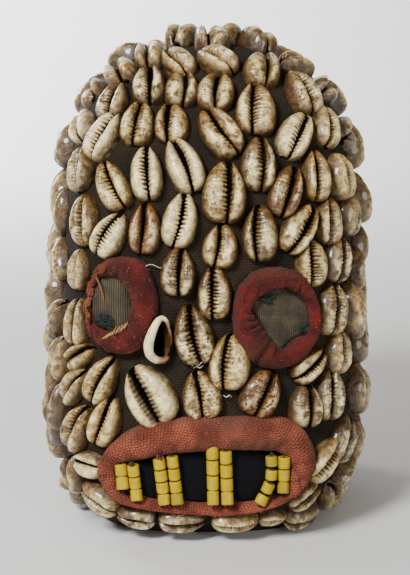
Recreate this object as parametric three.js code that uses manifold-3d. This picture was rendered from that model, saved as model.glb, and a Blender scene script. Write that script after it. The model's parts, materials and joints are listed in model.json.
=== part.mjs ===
// Cowrie-covered crest mask: a hollow cloth head, open below and standing on its flat rim, sewn all
// over with cowrie shells, with padded rings for eyes, padded lips and strings of beads for teeth.
// Millimetres, +Z up, the face looks along -Y, and the origin is in the middle of the underside.

import * as THREE from "three";
import { mergeVertices } from "three/addons/utils/BufferGeometryUtils.js";
import Module from "manifold-3d";

const wasm = await Module();
wasm.setup();

// Head form

const crownTop = 209;
const halfWidthLow = 67.5;
const halfWidthHigh = 63;
const wideningFrom = 160;
const wideningTo = 50;
const shoulderStart = 145;
const shoulderPower = 2.2;
const sideTuckStart = 56;
const sideTuckReach = 74;
const chinTuckStart = 34;
const chinTuckReach = 46;
const tuckPower = 2.4;
const chinReach = 74;
const faceLean = 0.11;
const backReach = 73;
const headMiddle = 6;
const browStart = 108;
const browPower = 2.05;
const napeStart = 131;
const napePower = 2.2;
const faceSquareness = 3.2;
const backSquareness = 2.4;
const sidewaysLean = 3;
const leanFrom = 0.2;
const wall = 6.5;
const joint = 0.3;
const cutBelow = 9;
const crownFlat = 0.25;
const evenLevels = 0.45;

// How the face is seen: places on it are written as they show from the front, in millimetres across
// and up on a plane that faces the viewpoint.

const viewRise = THREE.MathUtils.degToRad(12);
const viewDistance = 752;
const viewAim = new THREE.Vector3(-0.1, 0, 98.5);
const sightPlane = 680;
const sightFrom = 640;
const sightTo = 860;
const sightHalvings = 14;
const leanReach = 2;

// Shells, rings, lips and beads

const shellHeightShare = 0.27;
const grooveShare = 0.62;
const shellSink = 2;
const shellSeen = 5;
const ringHeight = 9;
const lipHeight = 10.5;
const padSeen = 5;
const padSink = 1.5;
const padSection = [[0.06, -1], [0, 0.45], [0.3, 0.95], [0.7, 0.95], [1, 0.45], [0.94, -1]];
const eyeClothHeight = 3;
const patchMiddle = 0.55;
const patchEdgeRise = 0.7;
const beadRadius = 2.4;
const beadSides = 8;
const bentStringSpare = 1;
const mouthClothHeight = 1.6;
const beadRest = mouthClothHeight + 0.9 + beadRadius;

const colours = {
  cloth: new THREE.MeshStandardMaterial({ color: 0x4a4034, roughness: 0.95, metalness: 0 }),
  shell: new THREE.MeshStandardMaterial({ color: 0xd9c7a3, roughness: 0.3, metalness: 0 }),
  ring: new THREE.MeshStandardMaterial({ color: 0x8a3228, roughness: 0.9, metalness: 0 }),
  eye: new THREE.MeshStandardMaterial({ color: 0x56503f, roughness: 0.95, metalness: 0 }),
  lips: new THREE.MeshStandardMaterial({ color: 0xaf5a46, roughness: 0.9, metalness: 0 }),
  mouth: new THREE.MeshStandardMaterial({ color: 0x18181e, roughness: 0.95, metalness: 0 }),
  bead: new THREE.MeshStandardMaterial({ color: 0xe2cc20, roughness: 0.25, metalness: 0 }),
};

// The head's level section: half width, front and back, and how far it leans aside at that height.

function ease(share, power) {
  const inside = Math.min(Math.max(share, 0), 1);
  return (1 - inside ** power) ** (1 / power);
}

function level(z, grow) {
  const top = crownTop + grow;
  const shoulder = ease((z - shoulderStart) / (top - shoulderStart), shoulderPower);
  const brow = ease((z - browStart) / (top - browStart), browPower);
  const nape = ease((z - napeStart) / (top - napeStart), napePower);
  const sideTuck = ease((sideTuckStart - z) / sideTuckReach, tuckPower);
  const chinTuck = ease((chinTuckStart - z) / chinTuckReach, tuckPower);
  const high = THREE.MathUtils.clamp((z - wideningTo) / (wideningFrom - wideningTo), 0, 1);
  const width = THREE.MathUtils.lerp(halfWidthLow, halfWidthHigh, high);
  const reach = headMiddle + chinReach - faceLean * z;
  return {
    half: width * shoulder * sideTuck + grow * shoulder,
    front: reach * brow * chinTuck + grow * brow,
    back: (backReach - headMiddle) * nape * chinTuck + grow * nape,
    aside: sidewaysLean * (z / crownTop - leanFrom),
  };
}

// Below 0 inside the head, above 0 outside.

function outsideness(point, grow) {
  if (point.z >= crownTop + grow) return 1 + (point.z - crownTop - grow);
  const at = level(point.z, grow);
  const y = point.y - headMiddle;
  const squareness = y < 0 ? faceSquareness : backSquareness;
  const depth = y < 0 ? at.front : at.back;
  const across = Math.abs(point.x - at.aside) / at.half;
  return (across ** squareness + (Math.abs(y) / depth) ** squareness) ** (1 / squareness) - 1;
}

function slope(point, grow) {
  const step = 0.05;
  const rise = new THREE.Vector3();
  for (const axis of ["x", "y", "z"]) {
    const ahead = point.clone();
    const behind = point.clone();
    ahead[axis] += step;
    behind[axis] -= step;
    rise[axis] = (outsideness(ahead, grow) - outsideness(behind, grow)) / (2 * step);
  }
  return rise;
}

const settleTurns = 8;
const settleSlowest = 0.002;
const settleLongest = 3;

function settle(point, grow, along) {
  const settled = point.clone();
  for (let turn = 0; turn < settleTurns; turn++) {
    const rise = slope(settled, grow);
    const way = along ? along.clone() : rise.clone().normalize();
    const speed = Math.max(rise.dot(way), settleSlowest);
    const wanted = outsideness(settled, grow) / speed;
    settled.addScaledVector(way, -THREE.MathUtils.clamp(wanted, -settleLongest, settleLongest));
  }
  return settled;
}

function skinPoint(z, angle, grow) {
  const at = level(z, grow);
  const cos = Math.cos(angle);
  const sin = Math.sin(angle);
  const squareness = sin < 0 ? faceSquareness : backSquareness;
  const depth = sin < 0 ? at.front : at.back;
  const x = at.aside + at.half * Math.sign(cos) * Math.abs(cos) ** (2 / squareness);
  const y = headMiddle + depth * Math.sign(sin) * Math.abs(sin) ** (2 / squareness);
  return new THREE.Vector3(x, y, z);
}

// A place on the cloth: its foot and the way out of the cloth there.

const viewAhead = new THREE.Vector3(0, Math.cos(viewRise), -Math.sin(viewRise));
const viewUp = new THREE.Vector3(0, Math.sin(viewRise), Math.cos(viewRise));
const viewPoint = viewAim.clone().addScaledVector(viewAhead, -viewDistance);

function seenAt(across, up, raised) {
  const way = viewAhead.clone().multiplyScalar(sightPlane).addScaledVector(viewUp, up);
  way.x += across;
  way.normalize();
  let nearest = { value: Infinity, along: 0 };
  for (let along = sightFrom; along < sightTo; along += 1) {
    const value = outsideness(viewPoint.clone().addScaledVector(way, along), raised);
    if (value < nearest.value) nearest = { value, along };
    if (value < 0) break;
  }
  let near = nearest.along - 1;
  let far = nearest.along;
  if (nearest.value < 0) {
    for (let turn = 0; turn < sightHalvings; turn++) {
      const middle = (near + far) / 2;
      const value = outsideness(viewPoint.clone().addScaledVector(way, middle), raised);
      if (value < 0) far = middle;
      else near = middle;
    }
  }
  const met = settle(viewPoint.clone().addScaledVector(way, far), raised);
  const out = slope(met, raised).normalize();
  const foot = settle(met.addScaledVector(out, -raised), 0);
  return { foot, out };
}

function frameAt(foot, out, towards) {
  const along = towards.clone().addScaledVector(out, -towards.dot(out)).normalize();
  const across = new THREE.Vector3().crossVectors(along, out).normalize();
  return { foot, out, along, across };
}

function seenFrame(across, up, lean) {
  const turn = THREE.MathUtils.degToRad(lean);
  const place = seenAt(across, up, shellSeen);
  const right = leanReach * Math.sin(turn);
  const rise = leanReach * Math.cos(turn);
  const ahead = seenAt(across + right, up + rise, shellSeen);
  const behind = seenAt(across - right, up - rise, shellSeen);
  return frameAt(place.foot, place.out, ahead.foot.clone().sub(behind.foot));
}

// Solids and meshes

function solid(points, triangles) {
  const vertProperties = new Float32Array(points.flatMap((point) => [point.x, point.y, point.z]));
  const triVerts = new Uint32Array(triangles.flat());
  return new wasm.Manifold(new wasm.Mesh({ numProp: 3, vertProperties, triVerts }));
}

function solidOf(geometry) {
  const bare = geometry.clone();
  bare.deleteAttribute("normal");
  bare.deleteAttribute("uv");
  const merged = mergeVertices(bare, 1e-4);
  const vertProperties = new Float32Array(merged.attributes.position.array);
  const triVerts = new Uint32Array(merged.index.array);
  return new wasm.Manifold(new wasm.Mesh({ numProp: 3, vertProperties, triVerts }));
}

function meshOf(name, shape, material) {
  const made = shape.getMesh();
  const geometry = new THREE.BufferGeometry();
  geometry.setAttribute("position", new THREE.BufferAttribute(made.vertProperties, 3));
  geometry.setIndex(new THREE.BufferAttribute(made.triVerts, 1));
  geometry.computeVertexNormals();
  const mesh = new THREE.Mesh(geometry, material);
  mesh.name = name;
  return mesh;
}

// Rings of points joined into a closed tube, with or without ends.

function loft(rings, closed) {
  const points = rings.flat();
  const sides = rings[0].length;
  const triangles = [];
  const spans = closed ? rings.length : rings.length - 1;
  for (let row = 0; row < spans; row++) {
    const next = (row + 1) % rings.length;
    for (let side = 0; side < sides; side++) {
      const turn = (side + 1) % sides;
      const a = row * sides + side;
      const b = row * sides + turn;
      const c = next * sides + turn;
      const d = next * sides + side;
      triangles.push([a, b, c], [a, c, d]);
    }
  }
  if (!closed) {
    const first = points.length;
    const last = first + 1;
    const start = (rings.length - 1) * sides;
    points.push(middleOf(rings[0]), middleOf(rings[rings.length - 1]));
    for (let side = 0; side < sides; side++) {
      const turn = (side + 1) % sides;
      triangles.push([first, turn, side], [last, start + side, start + turn]);
    }
  }
  return solid(points, triangles);
}

function middleOf(ring) {
  const sum = new THREE.Vector3();
  for (const point of ring) sum.add(point);
  return sum.divideScalar(ring.length);
}

// The head

function headSolid(grow, columns, heights, below) {
  const rings = heights.map((height) => {
    const ring = [];
    for (let column = 0; column < columns; column++) {
      ring.push(skinPoint(height, (column / columns) * 2 * Math.PI, grow));
    }
    return ring;
  });
  if (below > 0) rings.unshift(rings[0].map((point) => point.clone().setZ(-below)));
  return loft(rings, false);
}

function levels(count, top) {
  const heights = [0];
  for (let step = 1; step <= count; step++) {
    const share = step / (count + 1);
    const spread = 0.5 - 0.5 * Math.cos(Math.PI * share);
    heights.push(top * (evenLevels * share + (1 - evenLevels) * spread));
  }
  heights.push(top - crownFlat);
  return heights;
}

const skin = headSolid(0, 24, levels(9, crownTop), 0);
const keptClear = headSolid(joint, 24, levels(9, crownTop + joint), cutBelow);
const hollow = headSolid(-wall, 16, levels(7, crownTop - wall), cutBelow);

// A cowrie, slit outwards: its outline lies on the cloth, two lips rise from it, and a groove runs
// between them from end to end. The plainer one, for the hidden sides, has one ridge.

const outline = [[0, 0.5], [0.46, 0.2], [0.5, -0.2], [0, -0.5], [-0.5, -0.2], [-0.46, 0.2]];
const underside = [[0, 1, 5], [1, 4, 5], [1, 2, 4], [2, 3, 4]];
const lipCrests = [[0.25, 0.22], [0.25, -0.24], [-0.25, -0.24], [-0.25, 0.22]];
const lippedFaces = [
  [10, 6, 0], [10, 7, 6], [10, 3, 7], [10, 8, 3], [10, 9, 8], [10, 0, 9],
  [0, 6, 1], [1, 7, 2], [1, 6, 7], [2, 7, 3], [3, 8, 4], [4, 9, 5], [4, 8, 9], [5, 9, 0],
];
const ridgeCrests = [[0, 0.2], [0, -0.22]];
const ridgedFaces = [
  [0, 6, 1], [1, 7, 2], [1, 6, 7], [2, 7, 3], [3, 7, 4], [4, 7, 6], [4, 6, 5], [5, 6, 0],
];

function cowrie(frame, length, width, plain) {
  const height = shellHeightShare * length;
  const at = (share, raise) => {
    const point = frame.foot.clone();
    point.addScaledVector(frame.across, share[0] * width);
    point.addScaledVector(frame.along, share[1] * length);
    return point.addScaledVector(frame.out, raise);
  };
  const points = outline.map((share) => {
    return settle(at(share, 0), 0, frame.out).addScaledVector(frame.out, -shellSink);
  });
  for (const share of plain ? ridgeCrests : lipCrests) points.push(at(share, height));
  if (!plain) points.push(at([0, 0], height * grooveShare));
  return solid(points, [...(plain ? ridgedFaces : lippedFaces), ...underside]);
}

// Shells of the face, row by row as they were sewn, each with its place across and up as seen from
// the front, its lean in degrees to the right, its length and its width.

const looseRows = {
  crown: [
    [3, 105, 0, 21, 16], [-23.5, 99, 0, 20, 13.5], [-11.5, 96, -45, 19, 14],
    [5, 96, -60, 20, 15], [22, 104.5, -60, 23, 16], [24, 93, 0, 20, 16.5],
    [39, 95, -65, 20, 13], [42, 83.5, -27, 24, 15.5], [53, 85, 35, 21, 14],
    [-37, 92, -20, 20, 15], [-49, 83, 0, 20, 14], [-40, 80, 20, 20, 15],
    [-24, 86.5, 0, 21, 15], [-10, 85, 3, 19, 15], [4.5, 83.5, 8, 20, 17],
  ],
  forehead: [
    [-54, 69.5, 5, 19, 13], [-44, 65, 32, 24, 14.5], [-14, 70, 3, 19, 15],
    [52.5, 69, -5, 21, 14], [61, 66, 0, 22, 14], [-55, 50.5, 5, 21, 15],
    [-40, 43.5, -25, 23.5, 14.5], [48, 47.5, -3, 23, 13.5], [59.5, 47, -10, 21, 15],
  ],
  brow: [
    [-53, 28.5, 0, 23, 15], [-41, 22, 33, 21, 14], [54.5, 28, 0, 21, 14],
    [63.5, 31, 0, 20, 15], [-63.5, 32, 0, 21, 14], [-63, 12, 0, 21, 14],
    [-56, 7.5, 3, 18, 12], [46.5, 10, -2, 20.5, 15], [58, 12, 5, 21, 14],
    [55.5, -9.5, 5, 23, 16], [66, 8, 0, 21, 14],
  ],
  cheek: [
    [-63.5, -13, 10, 23, 15], [-57, -21, 0, 16, 12], [-55, -29, 60, 18, 11],
    [-67, -36, 15, 22, 15], [-57.5, -41, 35, 20, 13], [-45, -39, 30, 23, 14],
    [-56, -59, 22, 23, 15], [-43, -56.5, 22, 23, 14], [-65, -58, 5, 21, 14],
    [45.5, -33, 50, 19, 12], [58.5, -27, 3, 20, 15.5], [67, -12, 0, 21, 14],
    [54, -45, 3, 23, 15], [65.5, -42, 0, 21, 15], [43.5, -50, 0, 19, 15.5],
  ],
  jaw: [
    [-52, -75, -75, 17, 12], [-58, -79, -10, 20, 13], [52.5, -72.5, 38, 23.5, 14],
    [60, -63.5, 15, 22, 14], [54, -88, 15, 20, 14], [63.5, -79, 5, 21, 14],
  ],
  chin: [
    [-46, -90.5, -55, 20, 13], [-29.5, -98.5, -80, 18, 12], [-9.5, -99.8, 90, 21, 12],
    [12.5, -100.6, 90, 21, 12], [44, -97.2, 65, 20, 12], [30, -100, 85, 13, 10],
  ],
};

const middleShells = {
  forehead: [
    [-28.5, 70, 12, 21, 15], [6, 66, -35, 25.5, 16.5], [21.5, 76, 2, 25, 18],
    [38.5, 65, 25, 23.5, 15], [-25, 48.5, -3, 24, 14], [-9, 52, -22, 25.5, 15.5],
    [8, 40.5, 2, 27, 19], [22.5, 52.5, 0, 24.5, 15.5], [34.5, 41, 16, 23.5, 14],
  ],
  brow: [
    [-25.5, 25, 5, 22, 14], [-10.5, 28.5, 12, 24, 15], [6.5, 17.5, 8, 19, 15.5],
    [23.5, 23, 0, 24.5, 15.5], [40.5, 25, 32, 24, 14],
  ],
  nose: [
    [-11.5, 6.5, 4, 21, 15], [4, -2.5, 0, 23, 14.5], [-5, -20, -12, 26, 17],
    [10.5, -31.5, 6, 24.5, 18],
  ],
  cheek: [
    [-23.5, -45.5, -30, 28, 21], [-1.5, -45.5, -10, 21.5, 17], [24, -44.5, 25, 21.5, 17],
  ],
};

// The broken shell beside the nose

const brokenShell = [-18.9, -21.5, 0, 20, 11.5];
const breachAcross = 0.27;
const breachAlong = 0.3;
const breachAside = 0.06;
const breachDepth = 10;
const breachMiddle = 6;
const breachTaper = 0.8;
const breachSides = 7;

// Padded rings. Each is an oval opening in an oval outline, both as seen from the front.

const eyeRings = {
  left: { opening: [-40, -5, 8.3, 10.2], outline: [-35.6, -7.3, 16.4, 21.2] },
  right: { opening: [32.1, -13.8, 12.3, 13], outline: [30.3, -12.7, 18, 21.2] },
};
const lipsShape = { opening: [-0.8, -79.9, 38.3, 11.8], outline: [0.8, -75.2, 45, 20.3], below: 0.62 };
const ovalPower = 2;
const mouthPower = 4.5;
const lipPower = 2.5;

// Strings of beads: the top and bottom of each string's run as seen from the front, and its beads.

const beadStrings = [
  { top: [-35.3, -73.2], bottom: [-34.2, -84.4], beads: 2 },
  { top: [-30.2, -73.7], bottom: [-28.3, -89], beads: 3 },
  { top: [-19.3, -71], bottom: [-16.8, -90.7], beads: 4 },
  { top: [-13.8, -70], bottom: [-11.3, -90.6], beads: 4 },
  { top: [3, -65.4], bottom: [3.4, -90.7], beads: 4 },
  { top: [8.6, -67.8], bottom: [9.4, -90.6], beads: 4 },
  { top: [27.6, -69.5], middle: [27.6, -80.5], bottom: [22.2, -90.8], beads: 4 },
  { top: [33, -70.4], bottom: [32.6, -86], beads: 3 },
];

// Shells of the sides, back and crown are sewn in level rows. The lowest row lies lengthwise.

const rowStep = 22;
const columnStep = 19.5;
const lowestRow = 11;
const highestRowBelowTop = 1.2;
const sideLength = 22.5;
const sideWidth = 15.5;
const clearAcross = 14.5;
const clearAlong = 20;
const clearOfPads = 6.5;
const yieldSteps = [0.7, 1.3];
const nudges = [[0, 0], ...yieldSteps.flatMap((step) => [[step, 0], [-step, 0], [0, step], [0, -step]])];
const smallestFit = 0.6;
const fitStep = 0.03;
const rowTurn = 0.07;
const unevenTurn = 26;
const unevenLowTurn = 10;
const searchStep = 2.5;
const crownTurn = 0.9;
const sideFacing = 0.8;
const walkStep = 0.01;
const climbStep = 0.1;
const climbAngle = 0.3;

// Repeatable unevenness, from 0 to 1, for the hand-sewn look.

function uneven(seed) {
  const wave = Math.sin(seed * 12.9898 + 4.1) * 43758.5453;
  return wave - Math.floor(wave);
}

// How far apart two shells lie, where 1 is as close as they may come.

function closeness(frame, other) {
  const away = other.foot.clone().sub(frame.foot);
  const across = away.dot(frame.across) / clearAcross;
  const along = away.dot(frame.along) / clearAlong;
  const out = away.dot(frame.out) / clearAcross;
  return Math.hypot(across, along, out);
}

// Where a point shows from the front.

function seenPlace(point) {
  const away = point.clone().sub(viewPoint);
  const nearer = sightPlane / away.dot(viewAhead);
  return [away.x * nearer, away.dot(viewUp) * nearer];
}

function underPad(frame) {
  if (frame.foot.y > headMiddle) return false;
  const [across, up] = seenPlace(frame.foot);
  return [lipsShape, eyeRings.left, eyeRings.right].some(({ outline }) => {
    const sideways = (across - outline[0]) / (outline[2] + clearOfPads);
    return Math.hypot(sideways, (up - outline[1]) / (outline[3] + clearOfPads)) < 1;
  });
}

function walk(z, start, distance) {
  let angle = start;
  let left = distance;
  let from = skinPoint(z, angle, 0);
  while (left > 0 && angle < start + 2 * Math.PI) {
    angle += walkStep;
    const to = skinPoint(z, angle, 0);
    left -= to.distanceTo(from);
    from = to;
  }
  return angle;
}

function rowHeights() {
  const heights = [lowestRow];
  let z = lowestRow;
  let left = rowStep;
  let from = skinPoint(z, climbAngle, 0);
  while (z < crownTop - highestRowBelowTop) {
    z += climbStep;
    const to = skinPoint(z, climbAngle, 0);
    left -= to.distanceTo(from);
    from = to;
    if (left <= 0) {
      heights.push(z);
      left = rowStep;
    }
  }
  return heights;
}

function sewnFrame(z, angle, lengthwise, seed) {
  const point = skinPoint(z, angle, 0);
  const out = slope(point, 0).normalize();
  const towards = new THREE.Vector3(0, 0, 1);
  if (lengthwise) towards.cross(out);
  else if (out.z > crownTurn) towards.set(0.3, 1, 0);
  const turn = (uneven(seed) - 0.5) * (lengthwise ? unevenLowTurn : unevenTurn);
  towards.applyAxisAngle(out, THREE.MathUtils.degToRad(turn));
  const frame = frameAt(point, out, towards);
  frame.length = sideLength * (0.9 + 0.2 * uneven(seed + 0.3));
  frame.width = sideWidth * (0.9 + 0.2 * uneven(seed + 0.6));
  return frame;
}

function sewnRows(taken) {
  const sewn = [];
  let seed = 1;
  for (const [row, z] of rowHeights().entries()) {
    const start = Math.PI * 1.5 + row * rowTurn;
    let angle = start;
    while (angle < start + 2 * Math.PI - rowTurn) {
      const frame = sewnFrame(z, angle, row === 0, seed);
      const near = [...taken, ...sewn].some((other) => closeness(frame, other) < 1);
      const free = !near && !underPad(frame);
      if (free) sewn.push(frame);
      const step = row === 0 ? rowStep + searchStep : columnStep;
      angle = walk(z, angle, free ? step : searchStep);
      seed += 1;
    }
  }
  return sewn;
}

// A closed pad between an opening and an outline, with a rounded section that dips into the cloth.
// Each point of the section is a share of the way from the opening to the outline, and a rise.

function ovalPoint(oval, angle, power) {
  const [across, up, half, tall] = oval;
  const sin = Math.sin(angle);
  const cos = Math.cos(angle);
  return [
    across + half * Math.sign(sin) * Math.abs(sin) ** (2 / power),
    up + tall * Math.sign(cos) * Math.abs(cos) ** (2 / power),
  ];
}

function raisedAt(inner, outer, share, height) {
  const across = inner[0] + (outer[0] - inner[0]) * share;
  const up = inner[1] + (outer[1] - inner[1]) * share;
  const place = seenAt(across, up, padSeen);
  return place.foot.clone().addScaledVector(place.out, height);
}

function pad(shape, height, powers, spans, grow) {
  const rings = [];
  for (let span = 0; span < spans; span++) {
    const angle = ((span + 0.5) / spans) * 2 * Math.PI;
    const inner = ovalPoint(shrunk(shape.opening, -grow), angle, powers[0]);
    const outer = ovalPoint(shrunk(shape.outline, grow), angle, powers[1]);
    const fullness = THREE.MathUtils.lerp(shape.below ?? 1, 1, 0.5 + 0.5 * Math.cos(angle));
    rings.push(padSection.map(([share, rise]) => {
      const raise = rise < 0 ? -padSink : rise * height * fullness + grow;
      return raisedAt(inner, outer, share, raise);
    }));
  }
  return outwards(loft(rings, true), rings, true);
}

function shrunk(oval, grow) {
  const [across, up, half, tall] = oval;
  return [across, up, half + grow, tall + grow];
}

// A slightly raised patch of cloth that fills an opening to within a margin.

function patch(opening, height, power, spans, margin) {
  const rim = [];
  const foot = [];
  const inward = [];
  const centre = [opening[0], opening[1]];
  const edge = shrunk(opening, -margin);
  for (let span = 0; span < spans; span++) {
    const angle = (span / spans) * 2 * Math.PI;
    const outer = ovalPoint(edge, angle, power);
    foot.push(raisedAt(centre, outer, 1, -padSink));
    rim.push(raisedAt(centre, outer, 1, height * patchEdgeRise));
    inward.push(raisedAt(centre, outer, patchMiddle, height));
  }
  return outwards(loft([foot, rim, inward], false), [foot, rim, inward], false);
}

// A loft whose rings run the other way round is turned right side out.

function outwards(shape, rings, closed) {
  if (shape.volume() > 0) return shape;
  return loft(rings.map((ring) => [...ring].reverse()), closed);
}

// Beads

function stringPoints(string) {
  const knots = [string.top, ...(string.middle ? [string.middle] : []), string.bottom];
  const places = knots.map(([across, up]) => {
    const place = seenAt(across, up, beadRest);
    return place.foot.clone().addScaledVector(place.out, beadRest);
  });
  return new THREE.CatmullRomCurve3(places, false, "centripetal");
}

function beadSolid(from, to, radius, spare) {
  const along = to.clone().sub(from);
  const barrel = new THREE.CylinderGeometry(radius, radius, along.length() - spare, beadSides);
  const turn = new THREE.Quaternion().setFromUnitVectors(
    new THREE.Vector3(0, 1, 0),
    along.clone().normalize(),
  );
  barrel.applyQuaternion(turn);
  const middle = from.clone().add(to).multiplyScalar(0.5);
  barrel.translate(middle.x, middle.y, middle.z);
  return solidOf(barrel);
}

// Building: soft pieces first, then the shells around them, then the head that carries the rest.

const mask = new THREE.Group();

function add(name, shape, material) {
  mask.add(meshOf(name, shape, material));
}

function seated(shape) {
  return shape.subtract(keptClear);
}

const smallestOverlap = 0.001;

function overlap(shape, other) {
  return shape.intersect(other).volume() > smallestOverlap;
}

// A shell that would press into its neighbours yields a little aside, or is a smaller one.

function fitted(frame, rooms, plain) {
  for (let size = 1; size > smallestFit; size -= fitStep) {
    const length = frame.length * size;
    const width = frame.width * size;
    for (const [across, along] of nudges) {
      const foot = frame.foot.clone().addScaledVector(frame.across, across);
      const moved = { ...frame, foot: foot.addScaledVector(frame.along, along) };
      const shape = cowrie(moved, length, width, plain);
      if (!rooms.some((room) => overlap(shape, room))) {
        Object.assign(frame, { foot: moved.foot, length, width });
        return shape;
      }
    }
  }
  return null;
}

const beads = [];
for (const [index, string] of beadStrings.entries()) {
  const run = stringPoints(string);
  for (let bead = 0; bead < string.beads; bead++) {
    const from = run.getPointAt(bead / string.beads);
    const to = run.getPointAt((bead + 1) / string.beads);
    const spare = string.middle ? joint + bentStringSpare : joint;
    beads.push({
      name: `bead_string_${index + 1}_bead_${bead + 1}`,
      shape: beadSolid(from, to, beadRadius, spare),
      room: beadSolid(from, to, beadRadius + joint, -joint),
    });
  }
}
for (const bead of beads) add(bead.name, bead.shape, colours.bead);

let lips = seated(pad(lipsShape, lipHeight, [mouthPower, lipPower], 24, 0));
for (const bead of beads) if (overlap(lips, bead.room)) lips = lips.subtract(bead.room);
const mouthCloth = seated(patch(lipsShape.opening, mouthClothHeight, mouthPower, 18, 0.9));
const lipRoom = pad(lipsShape, lipHeight, [mouthPower, lipPower], 24, joint);
add("lips", lips, colours.lips);
add("mouth_cloth", mouthCloth, colours.mouth);

const padRooms = [lipRoom];
for (const [side, shape] of Object.entries(eyeRings)) {
  add(`eye_ring_${side}`, seated(pad(shape, ringHeight, [ovalPower, ovalPower], 16, 0)), colours.ring);
  add(`eye_cloth_${side}`, seated(patch(shape.opening, eyeClothHeight, ovalPower, 12, 0.7)), colours.eye);
  padRooms.push(pad(shape, ringHeight, [ovalPower, ovalPower], 16, joint));
}

function shellOf([across, up, lean, length, width], name) {
  return { ...seenFrame(across, up, lean), length, width, name };
}

function shellsOf(rows) {
  return Object.entries(rows).flatMap(([row, shells]) => {
    return shells.map((shell, index) => shellOf(shell, `${row}_cowrie_${index + 1}`));
  });
}

const middle = shellsOf(middleShells);
const loose = shellsOf(looseRows);
const broken = shellOf(brokenShell, "broken_cowrie");
const sewn = sewnRows([...middle, ...loose, broken]);

const rooms = [...padRooms];
for (const shell of middle) {
  add(shell.name, seated(fitted(shell, rooms, false)), colours.shell);
  rooms.push(cowrie(shell, shell.length + 2 * joint, shell.width + 2 * joint, false));
}

const brokenWhole = fitted(broken, rooms, false);
const breach = new THREE.CylinderGeometry(1, breachTaper, breachDepth, breachSides);
breach.scale(breachAcross * broken.width, 1, breachAlong * broken.length);
breach.translate(breachAside * broken.width, breachMiddle, breachAside * broken.length);
const turned = new THREE.Matrix4().makeBasis(broken.across, broken.out, broken.along.clone().negate());
breach.applyMatrix4(turned.setPosition(broken.foot));
const brokenHollow = solidOf(breach);
add(broken.name, seated(brokenWhole.subtract(brokenHollow)), colours.shell);
rooms.push(cowrie(broken, broken.length + 2 * joint, broken.width + 2 * joint, false));

let head = skin;
for (const shell of [...loose, ...sewn]) {
  const hiddenSide = Math.abs(shell.out.x) > sideFacing || shell.out.y > 0;
  const shape = fitted(shell, rooms, hiddenSide);
  if (shape) head = head.add(shape);
}
add("cloth_head", head.subtract(hollow), colours.cloth);

export default mask;
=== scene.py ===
# %% [markdown]
# A crest mask sewn all over with cowrie shells. The head is a hollow cloth form that stands on its
# flat rim. About two hundred shells are sewn on it, slit side out, with padded rings for the eyes,
# padded lips, and strings of glass beads for the teeth.
#
# The solid model is the fixed frame: every piece made here goes where that model says. Sizes of
# the mask are written in millimetres, as its maker would measure them, and become Blender's metres
# only when a mesh is made.

import json
import math

import bmesh
import bpy
import numpy as np
from mathutils import Matrix, Vector

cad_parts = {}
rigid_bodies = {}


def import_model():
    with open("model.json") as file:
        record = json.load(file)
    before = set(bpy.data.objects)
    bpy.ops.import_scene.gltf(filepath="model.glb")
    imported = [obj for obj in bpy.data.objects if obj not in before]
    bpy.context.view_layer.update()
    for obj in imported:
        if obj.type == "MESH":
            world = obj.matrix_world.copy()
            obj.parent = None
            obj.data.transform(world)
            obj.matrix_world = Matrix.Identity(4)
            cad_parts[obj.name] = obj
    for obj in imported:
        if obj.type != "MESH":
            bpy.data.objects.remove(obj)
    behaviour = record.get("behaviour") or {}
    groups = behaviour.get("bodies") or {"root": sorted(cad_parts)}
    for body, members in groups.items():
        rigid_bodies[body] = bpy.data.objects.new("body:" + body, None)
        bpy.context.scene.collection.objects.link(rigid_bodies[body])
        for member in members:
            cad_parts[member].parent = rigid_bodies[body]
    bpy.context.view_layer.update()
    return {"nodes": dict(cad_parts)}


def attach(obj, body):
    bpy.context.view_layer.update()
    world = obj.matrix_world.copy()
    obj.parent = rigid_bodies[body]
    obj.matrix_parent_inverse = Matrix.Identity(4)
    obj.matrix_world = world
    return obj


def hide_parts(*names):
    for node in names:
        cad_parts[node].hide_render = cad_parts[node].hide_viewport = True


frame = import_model()
MM = 0.001
print("frame nodes:", len(frame["nodes"]))

# %% [markdown]
# The camera comes first, because places on the face are written as they show from it. It looks at
# the middle of the mask from in front and a little above, through a long lens, as a photographer
# would stand back from a small object so that its near parts don't look too large.

# %% Camera
VIEW_RISE = math.radians(12)
VIEW_DISTANCE = 752
VIEW_AIM = np.array([-0.1, 0, 98.5])
VIEW_HEIGHT_ANGLE = math.radians(20)
SENSOR_MM = 36
view_ahead = np.array([0, math.cos(VIEW_RISE), -math.sin(VIEW_RISE)])
view_up = np.array([0, math.sin(VIEW_RISE), math.cos(VIEW_RISE)])
view_point = VIEW_AIM - VIEW_DISTANCE * view_ahead

camera_data = bpy.data.cameras.new("camera")
camera_data.sensor_fit = "VERTICAL"
camera_data.sensor_height = SENSOR_MM
camera_data.sensor_width = SENSOR_MM
camera_data.lens = SENSOR_MM / 2 / math.tan(VIEW_HEIGHT_ANGLE / 2)
camera = bpy.data.objects.new("camera", camera_data)
camera.location = Vector(view_point * MM)
camera.rotation_euler = (math.pi / 2 - VIEW_RISE, 0, 0)
bpy.context.scene.collection.objects.link(camera)
bpy.context.scene.camera = camera
print("lens", round(camera_data.lens, 2), "mm")

# %% [markdown]
# A material in Blender is a small graph of nodes. These helpers make a node, set its plain values
# and join it to others in one call, so that the finishes below read as short recipes. Colours are
# written as they look on a screen, and Blender wants them as amounts of light, so light_of changes
# them once, here, by the usual curve between the two.

# %% Node helpers
def light_of(red, green, blue):
    shares = np.array([red, green, blue]) / 255
    dark = shares / 12.92
    bright = ((shares + 0.055) / 1.055) ** 2.4
    return tuple(np.where(shares <= 0.04045, dark, bright)) + (1.0,)


def join(tree, value, socket):
    if isinstance(value, bpy.types.NodeSocket):
        tree.links.new(value, socket)
    else:
        socket.default_value = value


def node(tree, kind, settings=None):
    made = tree.nodes.new(kind)
    for name, value in (settings or {}).items():
        setattr(made, name, value)
    return made


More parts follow.
